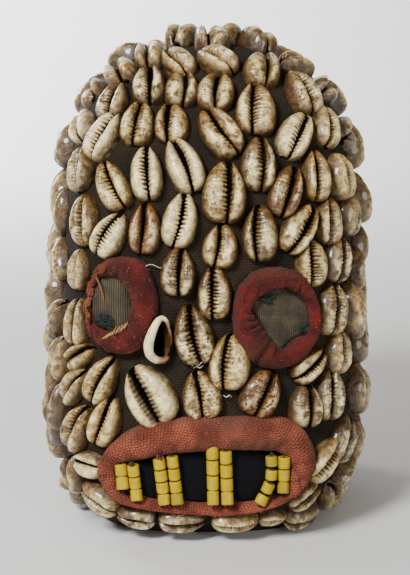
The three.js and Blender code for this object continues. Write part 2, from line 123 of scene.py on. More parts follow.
def maths(tree, operation, *values):
    made = tree.nodes.new("ShaderNodeMath")
    made.operation = operation
    for socket, value in zip(made.inputs, values):
        join(tree, value, socket)
    return made.outputs[0]


print("half bright on a screen is", round(light_of(128, 128, 128)[0], 3), "of the light")

# %% [markdown]
# The cloth, shell and glass of the mask are old and uneven, and none of them has one flat colour. A
# picture could be wrapped round them, but patterns that are worked out in the solid itself have no
# seams and stay sharp from near. These helpers blend two colours, stretch a pattern's contrast, make
# mottled noise of a size in millimetres, read what was painted on a mesh, and raise a pattern as a
# bump. Each mottle has a shift of its own, so that no two patterns line up.

# %% Patterns, blends and bumps
def blend(tree, share, first, second, way="MIX"):
    made = tree.nodes.new("ShaderNodeMix")
    made.data_type = "RGBA"
    made.blend_type = way
    join(tree, share, made.inputs["Factor"])
    join(tree, first, made.inputs[6])
    join(tree, second, made.inputs[7])
    return made.outputs[2]


def stretch(tree, value, low, high, to_low=0.0, to_high=1.0):
    made = tree.nodes.new("ShaderNodeMapRange")
    made.interpolation_type = "SMOOTHSTEP"
    for socket, given in zip(made.inputs, (value, low, high, to_low, to_high)):
        join(tree, given, socket)
    return made.outputs[0]


def place(tree):
    return tree.nodes.new("ShaderNodeTexCoord").outputs["Object"]


def mottle(tree, across_mm, detail=3.0, shift=0.0):
    made = tree.nodes.new("ShaderNodeTexNoise")
    made.noise_dimensions = "4D"
    join(tree, place(tree), made.inputs["Vector"])
    made.inputs["W"].default_value = shift
    made.inputs["Scale"].default_value = 1 / (across_mm * MM)
    made.inputs["Detail"].default_value = detail
    return made.outputs["Fac"]


def painted(tree, name, channel="Fac"):
    made = tree.nodes.new("ShaderNodeAttribute")
    made.attribute_name = name
    return made.outputs[channel]


def raised(tree, height, depth_mm, strength=1.0):
    made = tree.nodes.new("ShaderNodeBump")
    made.inputs["Strength"].default_value = strength
    made.inputs["Distance"].default_value = depth_mm * MM
    join(tree, height, made.inputs["Height"])
    return made.outputs["Normal"]


def finish(name):
    material = bpy.data.materials.new(name)
    material.use_nodes = True
    tree = material.node_tree
    tree.nodes.clear()
    shader = tree.nodes.new("ShaderNodeBsdfPrincipled")
    output = tree.nodes.new("ShaderNodeOutputMaterial")
    tree.links.new(shader.outputs[0], output.inputs["Surface"])
    print("finish:", name)
    return material, tree, shader.inputs


# %% [markdown]
# The mask stands on a seamless sheet of pale paper that curves up behind it. A floor and a wall would
# meet in a hard line behind the shells, so the paper is one profile, flat, bent and upright, drawn
# out sideways.

# %% Paper
PAPER_HALF = 14.0
PAPER_BEND_AT = 1.3
PAPER_BEND = 0.6
PAPER_BEND_STEPS = 12
PAPER_TOP = 5.0
profile = [(-PAPER_HALF, 0.0)]
for step in range(PAPER_BEND_STEPS + 1):
    turn = math.pi / 2 * step / PAPER_BEND_STEPS
    profile.append((PAPER_BEND_AT + PAPER_BEND * math.sin(turn), PAPER_BEND * (1 - math.cos(turn))))
profile.append((PAPER_BEND_AT + PAPER_BEND, PAPER_TOP))
paper_points = [(x, y, z) for y, z in profile for x in (-PAPER_HALF, PAPER_HALF)]
paper_faces = [(2 * row, 2 * row + 1, 2 * row + 3, 2 * row + 2) for row in range(len(profile) - 1)]
paper_mesh = bpy.data.meshes.new("paper_sweep")
paper_mesh.from_pydata(paper_points, [], paper_faces)
paper_mesh.shade_smooth()
paper_sweep = bpy.data.objects.new("paper_sweep", paper_mesh)
bpy.context.scene.collection.objects.link(paper_sweep)

paper, tree, shader = finish("pale_paper")
grain = mottle(tree, 40, 2)
join(tree, blend(tree, grain, light_of(203, 203, 203), light_of(207, 207, 207)), shader["Base Color"])
shader["Roughness"].default_value = 0.85
paper_mesh.materials.append(paper)
print("paper:", len(paper_faces), "strips")

# %% [markdown]
# The light is a plain studio's. The main lamp is soft and stands high on the left, so that it lights
# the front of every shell and leaves the gaps between them dark. A weak one on the right opens the
# shadows. Two more stand behind the mask, one for the bend of the paper and one for the floor on the
# left. Pale warm light from all round fills in the rest.

# %% Lamps
ROOM_LIGHT = light_of(252, 240, 218)
ROOM_STRENGTH = 0.27
world = bpy.data.worlds.new("pale_room")
world.use_nodes = True
room = world.node_tree.nodes["Background"].inputs
room["Color"].default_value = ROOM_LIGHT
room["Strength"].default_value = ROOM_STRENGTH
bpy.context.scene.world = world


def soft_lamp(name, position, size, power, aim=(0, 0, 0.1)):
    lamp_data = bpy.data.lights.new(name, "AREA")
    lamp_data.shape = "DISK"
    lamp_data.size = size
    lamp_data.energy = power
    lamp = bpy.data.objects.new(name, lamp_data)
    lamp.location = position
    away = Vector(aim) - Vector(position)
    lamp.rotation_euler = away.to_track_quat("-Z", "Y").to_euler()
    bpy.context.scene.collection.objects.link(lamp)
    print(name, "of", power, "watts")


soft_lamp("key_lamp", (-0.62, -0.95, 1.0), size=0.42, power=36)
soft_lamp("front_lamp", (0.75, -1.1, 0.42), size=0.6, power=8)
soft_lamp("paper_lamp", (-0.6, 1.1, 1.0), size=0.9, power=58, aim=(-0.35, 2.3, 0.25))
soft_lamp("floor_lamp", (-0.75, 0.75, 0.55), size=0.4, power=14, aim=(-0.55, 0.75, 0))

# %% [markdown]
# The head form is worked out from a few sizes, the same ones that the solid model uses: how wide,
# how deep and how high it is, where the shoulders and the brow start to round, and where the chin
# tucks under. Each level section is a rounded square in front and rounder behind. It could be
# sculpted by hand, but a form that is worked out can also say, for any point, how far outside the
# cloth it lies, and every shell and pad below asks it that.

# %% Head form
CROWN_TOP = 209
WALL = 6.5
HEAD_MIDDLE = 6
FACE_SQUARENESS = 3.2
BACK_SQUARENESS = 2.4
RIM_HALF_WIDTH = 67.5
HIGH_HALF_WIDTH = 63
NARROWS_FROM = 50
NARROWS_OVER = 110
SHOULDERS_FROM = 145
BROW_FROM = 108
NAPE_FROM = 131
SHOULDER_ROUNDNESS = 2.2
BROW_ROUNDNESS = 2.05
SIDES_TUCK_FROM = 56
SIDES_TUCK_OVER = 74
CHIN_TUCKS_FROM = 34
CHIN_TUCKS_OVER = 46
TUCK_ROUNDNESS = 2.4
FACE_DEPTH = 74
FACE_SLOPE = 0.11
BACK_DEPTH = 73
CROWN_LEANS_ASIDE = 3
LEANS_FROM = 0.2


def ease(share, power):
    return (1 - np.clip(share, 0, 1) ** power) ** (1 / power)


def level(z, grow):
    top = CROWN_TOP + grow
    shoulder = ease((z - SHOULDERS_FROM) / (top - SHOULDERS_FROM), SHOULDER_ROUNDNESS)
    brow = ease((z - BROW_FROM) / (top - BROW_FROM), BROW_ROUNDNESS)
    nape = ease((z - NAPE_FROM) / (top - NAPE_FROM), SHOULDER_ROUNDNESS)
    side_tuck = ease((SIDES_TUCK_FROM - z) / SIDES_TUCK_OVER, TUCK_ROUNDNESS)
    chin_tuck = ease((CHIN_TUCKS_FROM - z) / CHIN_TUCKS_OVER, TUCK_ROUNDNESS)
    narrowed = np.clip((z - NARROWS_FROM) / NARROWS_OVER, 0, 1)
    width = RIM_HALF_WIDTH + (HIGH_HALF_WIDTH - RIM_HALF_WIDTH) * narrowed
    half = width * shoulder * side_tuck + grow * shoulder
    front = (HEAD_MIDDLE + FACE_DEPTH - FACE_SLOPE * z) * brow * chin_tuck + grow * brow
    back = (BACK_DEPTH - HEAD_MIDDLE) * nape * chin_tuck + grow * nape
    aside = CROWN_LEANS_ASIDE * (z / CROWN_TOP - LEANS_FROM)
    return half, front, back, aside


def outsideness(points, grow):
    x, y, z = points[:, 0], points[:, 1] - HEAD_MIDDLE, points[:, 2]
    half, front, back, aside = level(z, grow)
    power = np.where(y < 0, FACE_SQUARENESS, BACK_SQUARENESS)
    depth = np.maximum(np.where(y < 0, front, back), 1e-9)
    across = np.abs(x - aside) / np.maximum(half, 1e-9)
    inside = (across**power + (np.abs(y) / depth) ** power) ** (1 / power) - 1
    return np.where(z >= CROWN_TOP + grow, 1 + z - CROWN_TOP - grow, inside)


np.seterr(invalid="ignore", divide="ignore", over="ignore")
half_way_up = [round(float(size), 1) for size in level(CROWN_TOP / 2, 0)[:3]]
print("half width, front and back, half way up:", *half_way_up, "mm")

# %% [markdown]
# The way out of the cloth at a point is the way in which outsideness grows fastest. Following it back
# and forth brings any point near the cloth down on to it, a few steps at a time. A point can also be
# had straight from its level and the angle at which it stands round the head.

# %% Points on the head
SETTLE_STEPS = 8
GENTLEST_SLOPE = 0.002
LONGEST_MOVE = 3
SLOPE_STEP = 0.05


def slope(points, grow):
    rise = np.empty_like(points)
    for axis in range(3):
        shift = np.zeros(3)
        shift[axis] = SLOPE_STEP
        rise[:, axis] = outsideness(points + shift, grow) - outsideness(points - shift, grow)
    return rise / (2 * SLOPE_STEP)


def unit(vectors):
    return vectors / np.linalg.norm(vectors, axis=-1, keepdims=True)


def settle(points, grow, along=None):
    settled = points.copy()
    for _ in range(SETTLE_STEPS):
        rise = slope(settled, grow)
        way = unit(rise) if along is None else along
        speed = np.maximum((rise * way).sum(axis=1), GENTLEST_SLOPE)
        move = np.clip(outsideness(settled, grow) / speed, -LONGEST_MOVE, LONGEST_MOVE)
        settled -= way * move[:, None]
    return settled


def signed_power(value, power):
    return np.sign(value) * np.abs(value) ** power


def skin_point(z, angle, grow):
    half, front, back, aside = level(z, grow)
    across, ahead = np.cos(angle), np.sin(angle)
    power = 2 / np.where(ahead < 0, FACE_SQUARENESS, BACK_SQUARENESS)
    depth = np.where(ahead < 0, front, back)
    x = aside + half * signed_power(across, power)
    y = HEAD_MIDDLE + depth * signed_power(ahead, power)
    return np.stack([x, y, z + 0 * angle], axis=-1)


chin_front = skin_point(np.array([30.0]), np.array([-math.pi / 2]), 0)[0, 1]
print("the face reaches", round(float(chin_front), 1), "mm at the chin")

# %% [markdown]
# A place on the face is written as it shows from the front: millimetres across and up on a plane
# that faces the camera. A ray from the camera through that place meets the cloth, and the way out
# of the cloth there gives a shell its seat. All rays walk ahead together, which numpy does fast:
# they step until they are inside, and then halve the last step again and again. What shows from the
# camera is the middle of a shell or a pad, which stands a few millimetres off the cloth, so the rays
# are stopped that far out and the seat lies under it.

# %% Places on the cloth
SIGHT_PLANE = 680
SIGHT_FROM = 640
SIGHT_TO = 860
SIGHT_HALVINGS = 14
SHELL_SEEN = 5
PAD_SEEN = 5
LEAN_REACH = 2


def seen_at(places, lifted):
    places = np.atleast_2d(np.asarray(places, float))
    ways = SIGHT_PLANE * view_ahead + places[:, 1:2] * view_up
    ways[:, 0] += places[:, 0]
    ways = unit(ways)
    far = np.full(len(places), float(SIGHT_FROM))
    lowest = np.full(len(places), np.inf)
    open_rays = np.arange(len(places))
    for along in range(SIGHT_FROM, SIGHT_TO):
        value = outsideness(view_point + ways[open_rays] * along, lifted)
        nearer = value < lowest[open_rays]
        lowest[open_rays[nearer]] = value[nearer]
        far[open_rays[nearer]] = along
        open_rays = open_rays[value >= 0]
        if not len(open_rays):
            break
    near = far - 1
    met = lowest < 0
    for _ in range(SIGHT_HALVINGS):
        middle = (near + far) / 2
        inside = outsideness(view_point + ways * middle[:, None], lifted) < 0
        far = np.where(met & inside, middle, far)
        near = np.where(met & ~inside, middle, near)
    points = settle(view_point + ways * far[:, None], lifted)
    out = unit(slope(points, lifted))
    return settle(points - out * lifted, 0), out


def lifted_at(places, heights):
    foot, out = seen_at(places, PAD_SEEN)
    return foot + out * np.reshape(heights, (-1, 1))


def frames_at(foot, out, towards):
    along = unit(towards - out * (towards * out).sum(axis=1, keepdims=True))
    return {"foot": foot, "out": out, "along": along, "across": unit(np.cross(along, out))}


def seen_frames(rows):
    rows = np.asarray(rows, float)
    turn = np.radians(rows[:, 2])
    step = LEAN_REACH * np.stack([np.sin(turn), np.cos(turn)], axis=1)
    foot, out = seen_at(rows[:, :2], SHELL_SEEN)
    ahead, _ = seen_at(rows[:, :2] + step, SHELL_SEEN)
    behind, _ = seen_at(rows[:, :2] - step, SHELL_SEEN)
    made = frames_at(foot, out, ahead - behind)
    made["length"] = rows[:, 3]
    made["width"] = rows[:, 4]
    return made


nose_foot, nose_out = seen_at([[0, 0]], SHELL_SEEN)
print("nose at", nose_foot.round(1), "facing", nose_out.round(2))

# %% [markdown]
# Every mesh below starts as a grid or a list of points in millimetres. This helper turns it into a
# Blender object, shades it smooth, and stores values painted on its points for its finish to read.
# The next one lets a piece ride on the mask's only body and hides the pieces of the solid model that
# it stands for. The last gives a share from 0 to 1 that jumps about as its seed changes and is the
# same on every run, which is all the chance that an old mask needs.

# %% Mesh helpers
def grid_faces(rows, columns, round_rows=False, round_columns=False, first=0):
    last_row = rows if round_rows else rows - 1
    last_column = columns if round_columns else columns - 1
    row, column = np.meshgrid(np.arange(last_row), np.arange(last_column), indexing="ij")
    next_row, next_column = (row + 1) % rows, (column + 1) % columns
    quads = [row * columns + column, row * columns + next_column]
    quads += [next_row * columns + next_column, next_row * columns + column]
    return np.stack(quads, axis=-1).reshape(-1, 4) + first


def mesh_object(name, points, faces, painted_values=None, uv=None, material=None):
    mesh = bpy.data.meshes.new(name)
    mesh.from_pydata((np.asarray(points) * MM).tolist(), [], [list(face) for face in faces])
    for key, values in (painted_values or {}).items():
        if np.ndim(values) == 2:
            layer = mesh.attributes.new(key, "FLOAT_COLOR", "POINT")
            layer.data.foreach_set("color", np.asarray(values, np.float32).ravel())
        else:
            layer = mesh.attributes.new(key, "FLOAT", "POINT")
            layer.data.foreach_set("value", np.asarray(values, np.float32))
    if uv is not None:
        corner_points = np.empty(len(mesh.loops), np.int32)
        mesh.loops.foreach_get("vertex_index", corner_points)
        layer = mesh.uv_layers.new(name="cloth_mm")
        layer.data.foreach_set("uv", np.asarray(uv, np.float32)[corner_points].ravel())
    mesh.shade_smooth()
    mesh.validate()
    mesh.update()
    made = bpy.data.objects.new(name, mesh)
    bpy.context.scene.collection.objects.link(made)
    if material:
        mesh.materials.append(material)
    return made


def dress(piece, slot_name, *nodes):
    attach(piece, "root")
    if nodes:
        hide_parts(*nodes)


def uneven(seed):
    wave = np.sin(np.asarray(seed, float) * 12.9898 + 4.1) * 43758.5453
    return wave - np.floor(wave)


print("a grid of 3 by 4 points has", len(grid_faces(3, 4)), "faces")
print("three uneven shares:", *uneven([1, 2, 3]).round(2))

# %% [markdown]
# The head is coarse plant-fibre cloth over stiff layers, dark with handling. Between the shells it
# shows its weave, with painted shade in the gaps between the threads. Noise bends the waves a little,
# because hand-spun thread is thick and thin by turns.

# %% Cloth finish
CROSSING_SHARE = 0.3
RIDGE_SHARE = 0.35
WEAVE_GAP_SHADE = light_of(18, 14, 10)


def weave(tree, thread_mm, where, slub=0.25):
    bent = node(tree, "ShaderNodeVectorMath", {"operation": "ADD"})
    join(tree, where, bent.inputs[0])
    wander = tree.nodes.new("ShaderNodeTexNoise")
    wander.inputs["Scale"].default_value = 0.12 / thread_mm
    join(tree, where, wander.inputs["Vector"])
    small = node(tree, "ShaderNodeVectorMath", {"operation": "SCALE"})
    join(tree, wander.outputs["Color"], small.inputs[0])
    small.inputs["Scale"].default_value = slub * thread_mm * 4
    join(tree, small.outputs[0], bent.inputs[1])
    parts = node(tree, "ShaderNodeSeparateXYZ")
    join(tree, bent.outputs[0], parts.inputs[0])
    turn = math.pi / thread_mm
    warp = maths(tree, "SINE", maths(tree, "MULTIPLY", parts.outputs[0], turn))
    weft = maths(tree, "SINE", maths(tree, "MULTIPLY", parts.outputs[1], turn))
    over = maths(tree, "MULTIPLY", warp, weft)
    ridges = maths(tree, "ADD", maths(tree, "ABSOLUTE", warp), maths(tree, "ABSOLUTE", weft))
    crossings = maths(tree, "MULTIPLY", over, CROSSING_SHARE)
    return maths(tree, "ADD", crossings, maths(tree, "MULTIPLY", ridges, RIDGE_SHARE))


def flat_place(tree):
    made = tree.nodes.new("ShaderNodeUVMap")
    made.uv_map = "cloth_mm"
    return made.outputs[0]


def cloth_finish(name, dark, light, thread_mm, depth_mm):
    material, tree, shader = finish(name)
    threads = weave(tree, thread_mm, flat_place(tree))
    patches = stretch(tree, mottle(tree, 14, 4, 1.0), 0.35, 0.68)
    fibres = stretch(tree, mottle(tree, 1.6, 3, 2.0), 0.35, 0.7)
    colour = blend(tree, patches, dark, light)
    # Painted shade in the gaps between the threads.
    colour = blend(tree, stretch(tree, threads, 0.1, 0.8, 0.55, 0.0), colour, WEAVE_GAP_SHADE)
    colour = blend(tree, maths(tree, "MULTIPLY", fibres, 0.3), colour, light)
    join(tree, colour, shader["Base Color"])
    shader["Roughness"].default_value = 0.92
    shader["Sheen Weight"].default_value = 0.0
    shader["Specular IOR Level"].default_value = 0.25
    fuzz = maths(tree, "MULTIPLY", mottle(tree, 0.7, 2, 4.0), 0.5)
    join(tree, raised(tree, maths(tree, "ADD", threads, fuzz), depth_mm), shader["Normal"])
    return material


fibre_dark, fibre_light = light_of(16, 11, 5), light_of(42, 31, 16)
body_cloth = cloth_finish("body_cloth", fibre_dark, fibre_light, thread_mm=1.1, depth_mm=0.5)

# %% [markdown]
# The cloth body is one closed skin. An outer wall and an inner one, set in by the thickness of the
# layers, are joined by the flat rim below, and a fan of triangles closes each at the crown. A ball
# could be pushed into this shape, but level sections give it directly, and they keep the threads
# level. Waves pucker the outer wall a little, as hundreds of stitches pull the cloth. The weave is
# laid on by lengths measured along the cloth, so that its threads keep their size.

# %% Cloth body
HEAD_COLUMNS = 240
HEAD_ROWS = 120
PUCKER = 0.35
PUCKER_FADES_OVER = 8
TIP_DROP = 0.1
TIP_ON_CLOTH = [0, 300]


def head_levels(count, top):
    share = np.arange(1, count + 1) / (count + 1)
    spread = 0.5 - 0.5 * np.cos(np.pi * share)
    return np.concatenate([[0], top * (0.45 * share + 0.55 * spread), [top - 0.25]])


def head_skin(grow, rows, columns, pucker=0.0):
    z, angle = np.meshgrid(
        head_levels(rows, CROWN_TOP + grow),
        np.arange(columns) / columns * 2 * np.pi,
        indexing="ij",
    )
    points = skin_point(z.ravel(), angle.ravel(), grow)
    if pucker:
        wave = np.sin(points[:, 0] * 0.42 + 1.7 * np.sin(points[:, 2] * 0.31))
        wave *= np.sin(points[:, 2] * 0.37 + 1.3 * np.sin(points[:, 1] * 0.29))
        fade = np.clip(points[:, 2] / PUCKER_FADES_OVER, 0, 1)
        points += unit(slope(points, grow)) * (wave * pucker * fade)[:, None]
    return points, z.shape


def cloth_lengths(points, shape):
    grid = points.reshape(*shape, 3)
    around = np.linalg.norm(np.diff(grid, axis=1, append=grid[:, :1]), axis=2)
    upward = np.linalg.norm(np.diff(grid, axis=0), axis=2)
    middle_row = around[shape[0] // 3]
    across = np.concatenate([[0], np.cumsum(middle_row)[:-1]])
    rise = np.concatenate([np.zeros((1, shape[1])), np.cumsum(upward, axis=0)])
    return np.stack([np.broadcast_to(across, shape), rise], axis=-1).reshape(-1, 2)


outer, outer_shape = head_skin(0, HEAD_ROWS, HEAD_COLUMNS, PUCKER)
inner, inner_shape = head_skin(-WALL, HEAD_ROWS // 2, HEAD_COLUMNS)
inner_first = len(outer)
outer_top = len(outer) + len(inner)
inner_top = outer_top + 1
last_level = outer[-HEAD_COLUMNS:]
tips = np.array([[last_level[:, 0].mean(), last_level[:, 1].mean(), CROWN_TOP - TIP_DROP]])
tips = np.vstack([tips, tips - [0, 0, WALL]])
head_points = np.vstack([outer, inner, tips])
head_faces = grid_faces(*outer_shape, round_columns=True).tolist()
head_faces += grid_faces(*inner_shape, round_columns=True, first=inner_first)[:, ::-1].tolist()
outer_last = inner_first - HEAD_COLUMNS
inner_last = outer_top - HEAD_COLUMNS
for column in range(HEAD_COLUMNS):
    beside = (column + 1) % HEAD_COLUMNS
    head_faces.append([outer_last + column, outer_last + beside, outer_top])
    head_faces.append([inner_last + beside, inner_last + column, inner_top])
    head_faces.append([beside, column, inner_first + column, inner_first + beside])
outer_uv, inner_uv = cloth_lengths(outer, outer_shape), cloth_lengths(inner, inner_shape)
head_uv = np.vstack([outer_uv, inner_uv, [TIP_ON_CLOTH] * 2])
cloth_body = mesh_object("cloth_body", head_points, head_faces, uv=head_uv, material=body_cloth)
dress(cloth_body, "body_cloth", "cloth_head")
print("cloth body:", len(head_faces), "faces")

# %% [markdown]
# A money cowrie, seen from its slit side, looks like a coffee bean: two plump lips that meet in a
# long dark slit, pointed above and rounder below, with rows of small teeth along the slit. It could
# be sculpted once and copied, but no two shells on the mask are alike. So one function lofts a
# cross-section along the shell, and takes the length, width, bend, teeth and lip sizes of each.
#
# Two curves are used all through it: a bell, high in the middle, and a smooth step. The teeth come
# first. A wave that is counted along the shell beats once for each tooth, a little unevenly, and
# dies away at both ends, and the teeth reach out over the lip to a line that wanders.

# %% Teeth of a lip
TEETH = 14
TOOTH_LINE_WANDERS = 0.05
TOOTH_LINE_DRAWS_BACK = 0.14
TOOTH_FADES_OVER = 0.28
TOOTH_BEAT_UNEVEN = 0.22


def bell(value, middle, reach):
    return np.exp(-(((value - middle) / reach) ** 2))


def smooth(value, low, high):
    share = np.clip((value - low) / (high - low), 0, 1)
    return share * share * (3 - 2 * share)


def teeth_of(side, share, turned_by, looks):
    tooth_from = looks["tooth_from"][0 if side < 0 else 1]
    starts = tooth_from + TOOTH_LINE_WANDERS * np.sin(2.3 * TEETH * share + looks["seed"])
    starts = starts + TOOTH_LINE_DRAWS_BACK * (1 - bell(share, 0.5, 0.45))
    toothed = smooth(turned_by, starts[:, None], starts[:, None] + TOOTH_FADES_OVER)
    half_a_tooth = 0 if side < 0 else 0.5
    counted = TEETH * share + TOOTH_BEAT_UNEVEN * np.sin(11 * share + looks["seed"]) + half_a_tooth
    beat = (0.5 + 0.5 * np.cos(2 * np.pi * counted))[:, None]
    alive = (smooth(share, 0.04, 0.16) * (1 - smooth(share, 0.9, 0.99)))[:, None]
    return toothed, beat, alive


print("a bell is", round(float(bell(0.75, 0.5, 0.25)), 2), "high one reach from its middle")

# %% [markdown]
# One lip is a curve from the cloth up over the crest and down into the slit, drawn at many stations
# along the shell at once. The teeth push it up and in. Three places are painted darker, as dirt and
# painted shade together: the gaps between the teeth, the walls that face the slit, and the ribs that
# some shells have across their crest. The edge of the lip at the slit is painted near black, as
# shade. Where this darkening lies is kept as a value, for the finish to read. Two more points take
# the lip down inside the slit, so that no light shows under it, and they are painted as shade too.

# %% One lip
LIP_STARTS = 0.04
LIP_TURN = 0.86
LIP_ROUNDNESS = 0.78
FOOT_LIMIT = 0.2
TOOTH_SHARPNESS = 1.4
RIB_DEPTH = 0.16
RIB_DIRT_AND_SHADE = 0.26
WALL_DIRT_AND_SHADE_FROM = 0.56
WALL_DIRT_AND_SHADE_TO = 0.68


# Dirt and painted shade: the gaps between the teeth and the walls facing the slit are painted darker.
def dirt_and_shade_of(turned_by, toothed, beat, alive, tooth_height, inner_dirt_and_shade):
    narrowness = 1.1 + 2.2 * (1 - toothed)
    between = (1 - beat) ** narrowness * toothed * alive * min(1, 0.25 + 1.8 * tooth_height)
    # The edge of the lip at the slit is painted near black, as shade.
    between = np.maximum(0.75 * between, 0.8 * smooth(turned_by, 0.78, LIP_TURN + 0.01))
    inner_wall = inner_dirt_and_shade * smooth(turned_by, WALL_DIRT_AND_SHADE_FROM, WALL_DIRT_AND_SHADE_TO) * (1 - 0.4 * beat) * alive
    return np.maximum(between, inner_wall)


def into_the_slit(edge, wall_x, wall_w, slit_shade):
    filled = edge[2][:, -1:] * 0 + slit_shade
    extra = [wall_x[:, None], wall_w[:, None], filled, 0 * filled, 0 * filled]
    return [np.hstack([old, new]) for old, new in zip(edge, extra)]


def lip_rows(side, share, half, centre, gap, height, foot, looks, columns):
    turn = np.linspace(LIP_STARTS, LIP_TURN, columns)[None, :] * np.pi
    turned_by = turn / np.pi
    room = (half + side * centre - gap)[:, None]
    reach = (1 - np.cos(turn)) / (1 - np.cos(LIP_TURN * np.pi))
    x = half[:, None] - room * reach
    base = np.minimum(foot, FOOT_LIMIT)[:, None]
    fullness = looks["fullness"][0 if side < 0 else 1]
    w = base + (height[:, None] * fullness - base) * np.sin(turn) ** LIP_ROUNDNESS
    toothed, beat, alive = teeth_of(side, share, turned_by, looks)
    tooth = beat**TOOTH_SHARPNESS * toothed * alive
    tooth_height = looks["tooth_height"][0 if side < 0 else 1]
    w = w + tooth_height * (tooth - 0.35 * toothed * alive)
    x = x - tooth * 0.9 * tooth_height
    between = dirt_and_shade_of(turned_by, toothed, beat, alive, tooth_height, looks["inner_dirt_and_shade"])
    # The hollows of the ribs are painted darker, as dirt and painted shade.
    ribs = looks["ribbed"] * (1 - beat) ** 1.5 * bell(turned_by, 0.52, 0.26) * alive
    w = w - RIB_DEPTH * ribs
    between = np.maximum(between, RIB_DIRT_AND_SHADE * ribs)
    # The crest is painted pale, as polish and painted highlight.
    crest = bell(turned_by, 0.5, 0.22) * bell(share, 0.36, 0.3)[:, None]
    # The low sides near the cloth and the two ends are painted darker, as grime and painted shade.
    ends = np.maximum(smooth(share, 0.86, 1.0), 1 - smooth(share, 0.0, 0.1))[:, None]
    lower = np.maximum(1 - smooth(turned_by, 0.08, 0.42), 0.7 * ends)
    edge = [x, w, between, crest, lower]
    inner_x = centre * side + gap * 0.75
    high, low = w[:, -1] - 0.22 * height, w[:, -1] - 0.5 * height
    # The two points inside the slit are painted as shade, near black.
    edge = into_the_slit(edge, inner_x - tooth[:, -1] * 0.35, high, 0.85)
    edge = into_the_slit(edge, inner_x - tooth[:, -1] * 0.25, low, 1)
    edge[0] = edge[0] * side
    return edge


print("a lip turns through", round(180 * (LIP_TURN - LIP_STARTS)), "degrees")

# %% [markdown]
# A whole cowrie is its left lip, the floor of the slit and its right lip, side by side. The outline
# is sharper above than below, the slit wanders a little off the middle, and slow waves add lumps and
# folds to each lip. The foot of each lip follows the cloth under it, so that a shell sits on the
# round head without a gap. No point is let down to the floor.

# %% A whole cowrie
SLIT_MM = 0.72
SHELL_HEIGHT_SHARE = 0.29
STANDS_CLEAR = 0.3
FOOT_SUNK = 1.4
FIRST_STATION = 0.006
LAST_STATION = 0.994
END_WIDTH = 0.14
LOWEST_EDGE = 0.4
LUMP_HEIGHT = 0.22
FOLD_HEIGHT = 0.15


def cowrie(frames, number, looks, stations, columns):
    length, width = frames["length"][number], frames["width"][number]
    share = np.linspace(FIRST_STATION, LAST_STATION, stations)
    skewed = 2 * share ** looks["skew"] - 1
    sharp = np.where(skewed > 0, 2.05, 2.7)
    rounded = np.where(skewed > 0, 0.74, 0.56)
    outline = (1 - np.abs(skewed) ** sharp) ** rounded
    half = 0.5 * width * (END_WIDTH + 0.86 * outline)
    y = (share - 0.5) * length
    centre = width * (looks["off"] + looks["bend"] * np.sin(np.pi * share))
    gap = SLIT_MM * looks["slit"] * (0.5 + 0.7 * bell(share, 0.66, 0.32))
    gap = gap + 0.7 * smooth(share, 0.82, 1.0) + 0.15 * (1 - smooth(share, 0, 0.12))
    gap = np.minimum(gap, 0.5 * half)
    centre = np.clip(centre, -0.5 * half, 0.5 * half)
    arched = (1 - np.abs(skewed) ** 2.6) ** 0.5
    height = SHELL_HEIGHT_SHARE * length * looks["tall"] * arched + LOWEST_EDGE

    frame_of = {key: frames[key][number] for key in ("foot", "out", "along", "across")}
    feet = []
    for side in (-1, 1):
        edge = frame_of["foot"] + np.outer(y, frame_of["along"])
        edge = edge + np.outer(side * half, frame_of["across"])
        out = np.broadcast_to(frame_of["out"], edge.shape)
        feet.append(((settle(edge, 0, out) - edge) * out).sum(axis=1))
    sides = []
    for side, foot in zip((-1, 1), feet):
        sides.append(lip_rows(side, share, half, centre, gap, height, foot, looks, columns))

    def across_rows(index, left_foot, slit, right_foot):
        left, right = sides[0][index], sides[1][index][:, ::-1]
        middle = (np.ones(stations) * slit)[:, None]
        ends = [(np.ones(stations) * value)[:, None] for value in (left_foot, right_foot)]
        return np.hstack([ends[0], left, middle, right, ends[1]])

    slit_floor = sides[0][1][:, -1] - 0.2 * height
    x = across_rows(0, -half, centre, half)
    w = across_rows(1, feet[0] - FOOT_SUNK, slit_floor, feet[1] - FOOT_SUNK)
    # The floor of the slit is painted black, as shade.
    between = across_rows(2, 0, 1, 0)
    crest = across_rows(3, 0, 0, 0)
    lower = across_rows(4, 1, 0, 1)
    lumps = np.sin(0.9 * x + looks["seed"]) * np.sin(0.55 * y[:, None] + 2.3 * looks["seed"])
    folds = np.sin(1.5 * y[:, None] + 0.5 * x + 5.1 * looks["seed"])
    w = w + (LUMP_HEIGHT * lumps + FOLD_HEIGHT * looks["folds"] * folds) * (1 - lower) * (1 - between)
    points = frame_of["foot"] + x[..., None] * frame_of["across"]
    points = points + y[:, None, None] * frame_of["along"] + w[..., None] * frame_of["out"]
    points[..., 2] = np.maximum(points[..., 2], STANDS_CLEAR)
    shape = x.shape
    values = {"between_teeth": between, "polish_and_highlight": crest, "low_side": lower}
    return points.reshape(-1, 3), shape, {key: value.ravel() for key, value in values.items()}


print("a shell 22 mm long stands about", round(SHELL_HEIGHT_SHARE * 22 + LOWEST_EDGE, 1), "mm off the cloth")

# %% [markdown]
# Each shell has a tone and a stain. Most are tan, cream or brown, and their hollows are painted
# darker, as dirt and painted shade. Some are nearly white, some orange-brown, one is speckled, a few
# at the left are worn grey and chalky, and one on the cheek gapes wide. The tones are named here
# once. A shell of the face that stands out names its own words, and the looks of the others come
# from their seed: how long the teeth are, which lip is the plumper, how the slit bends, and how
# dirty, ribbed, folded and speckled the shell is. How dark the walls of its slit are painted, as
# dirt and shade, and how pale its crest is painted, as polish and highlight, come from it too.

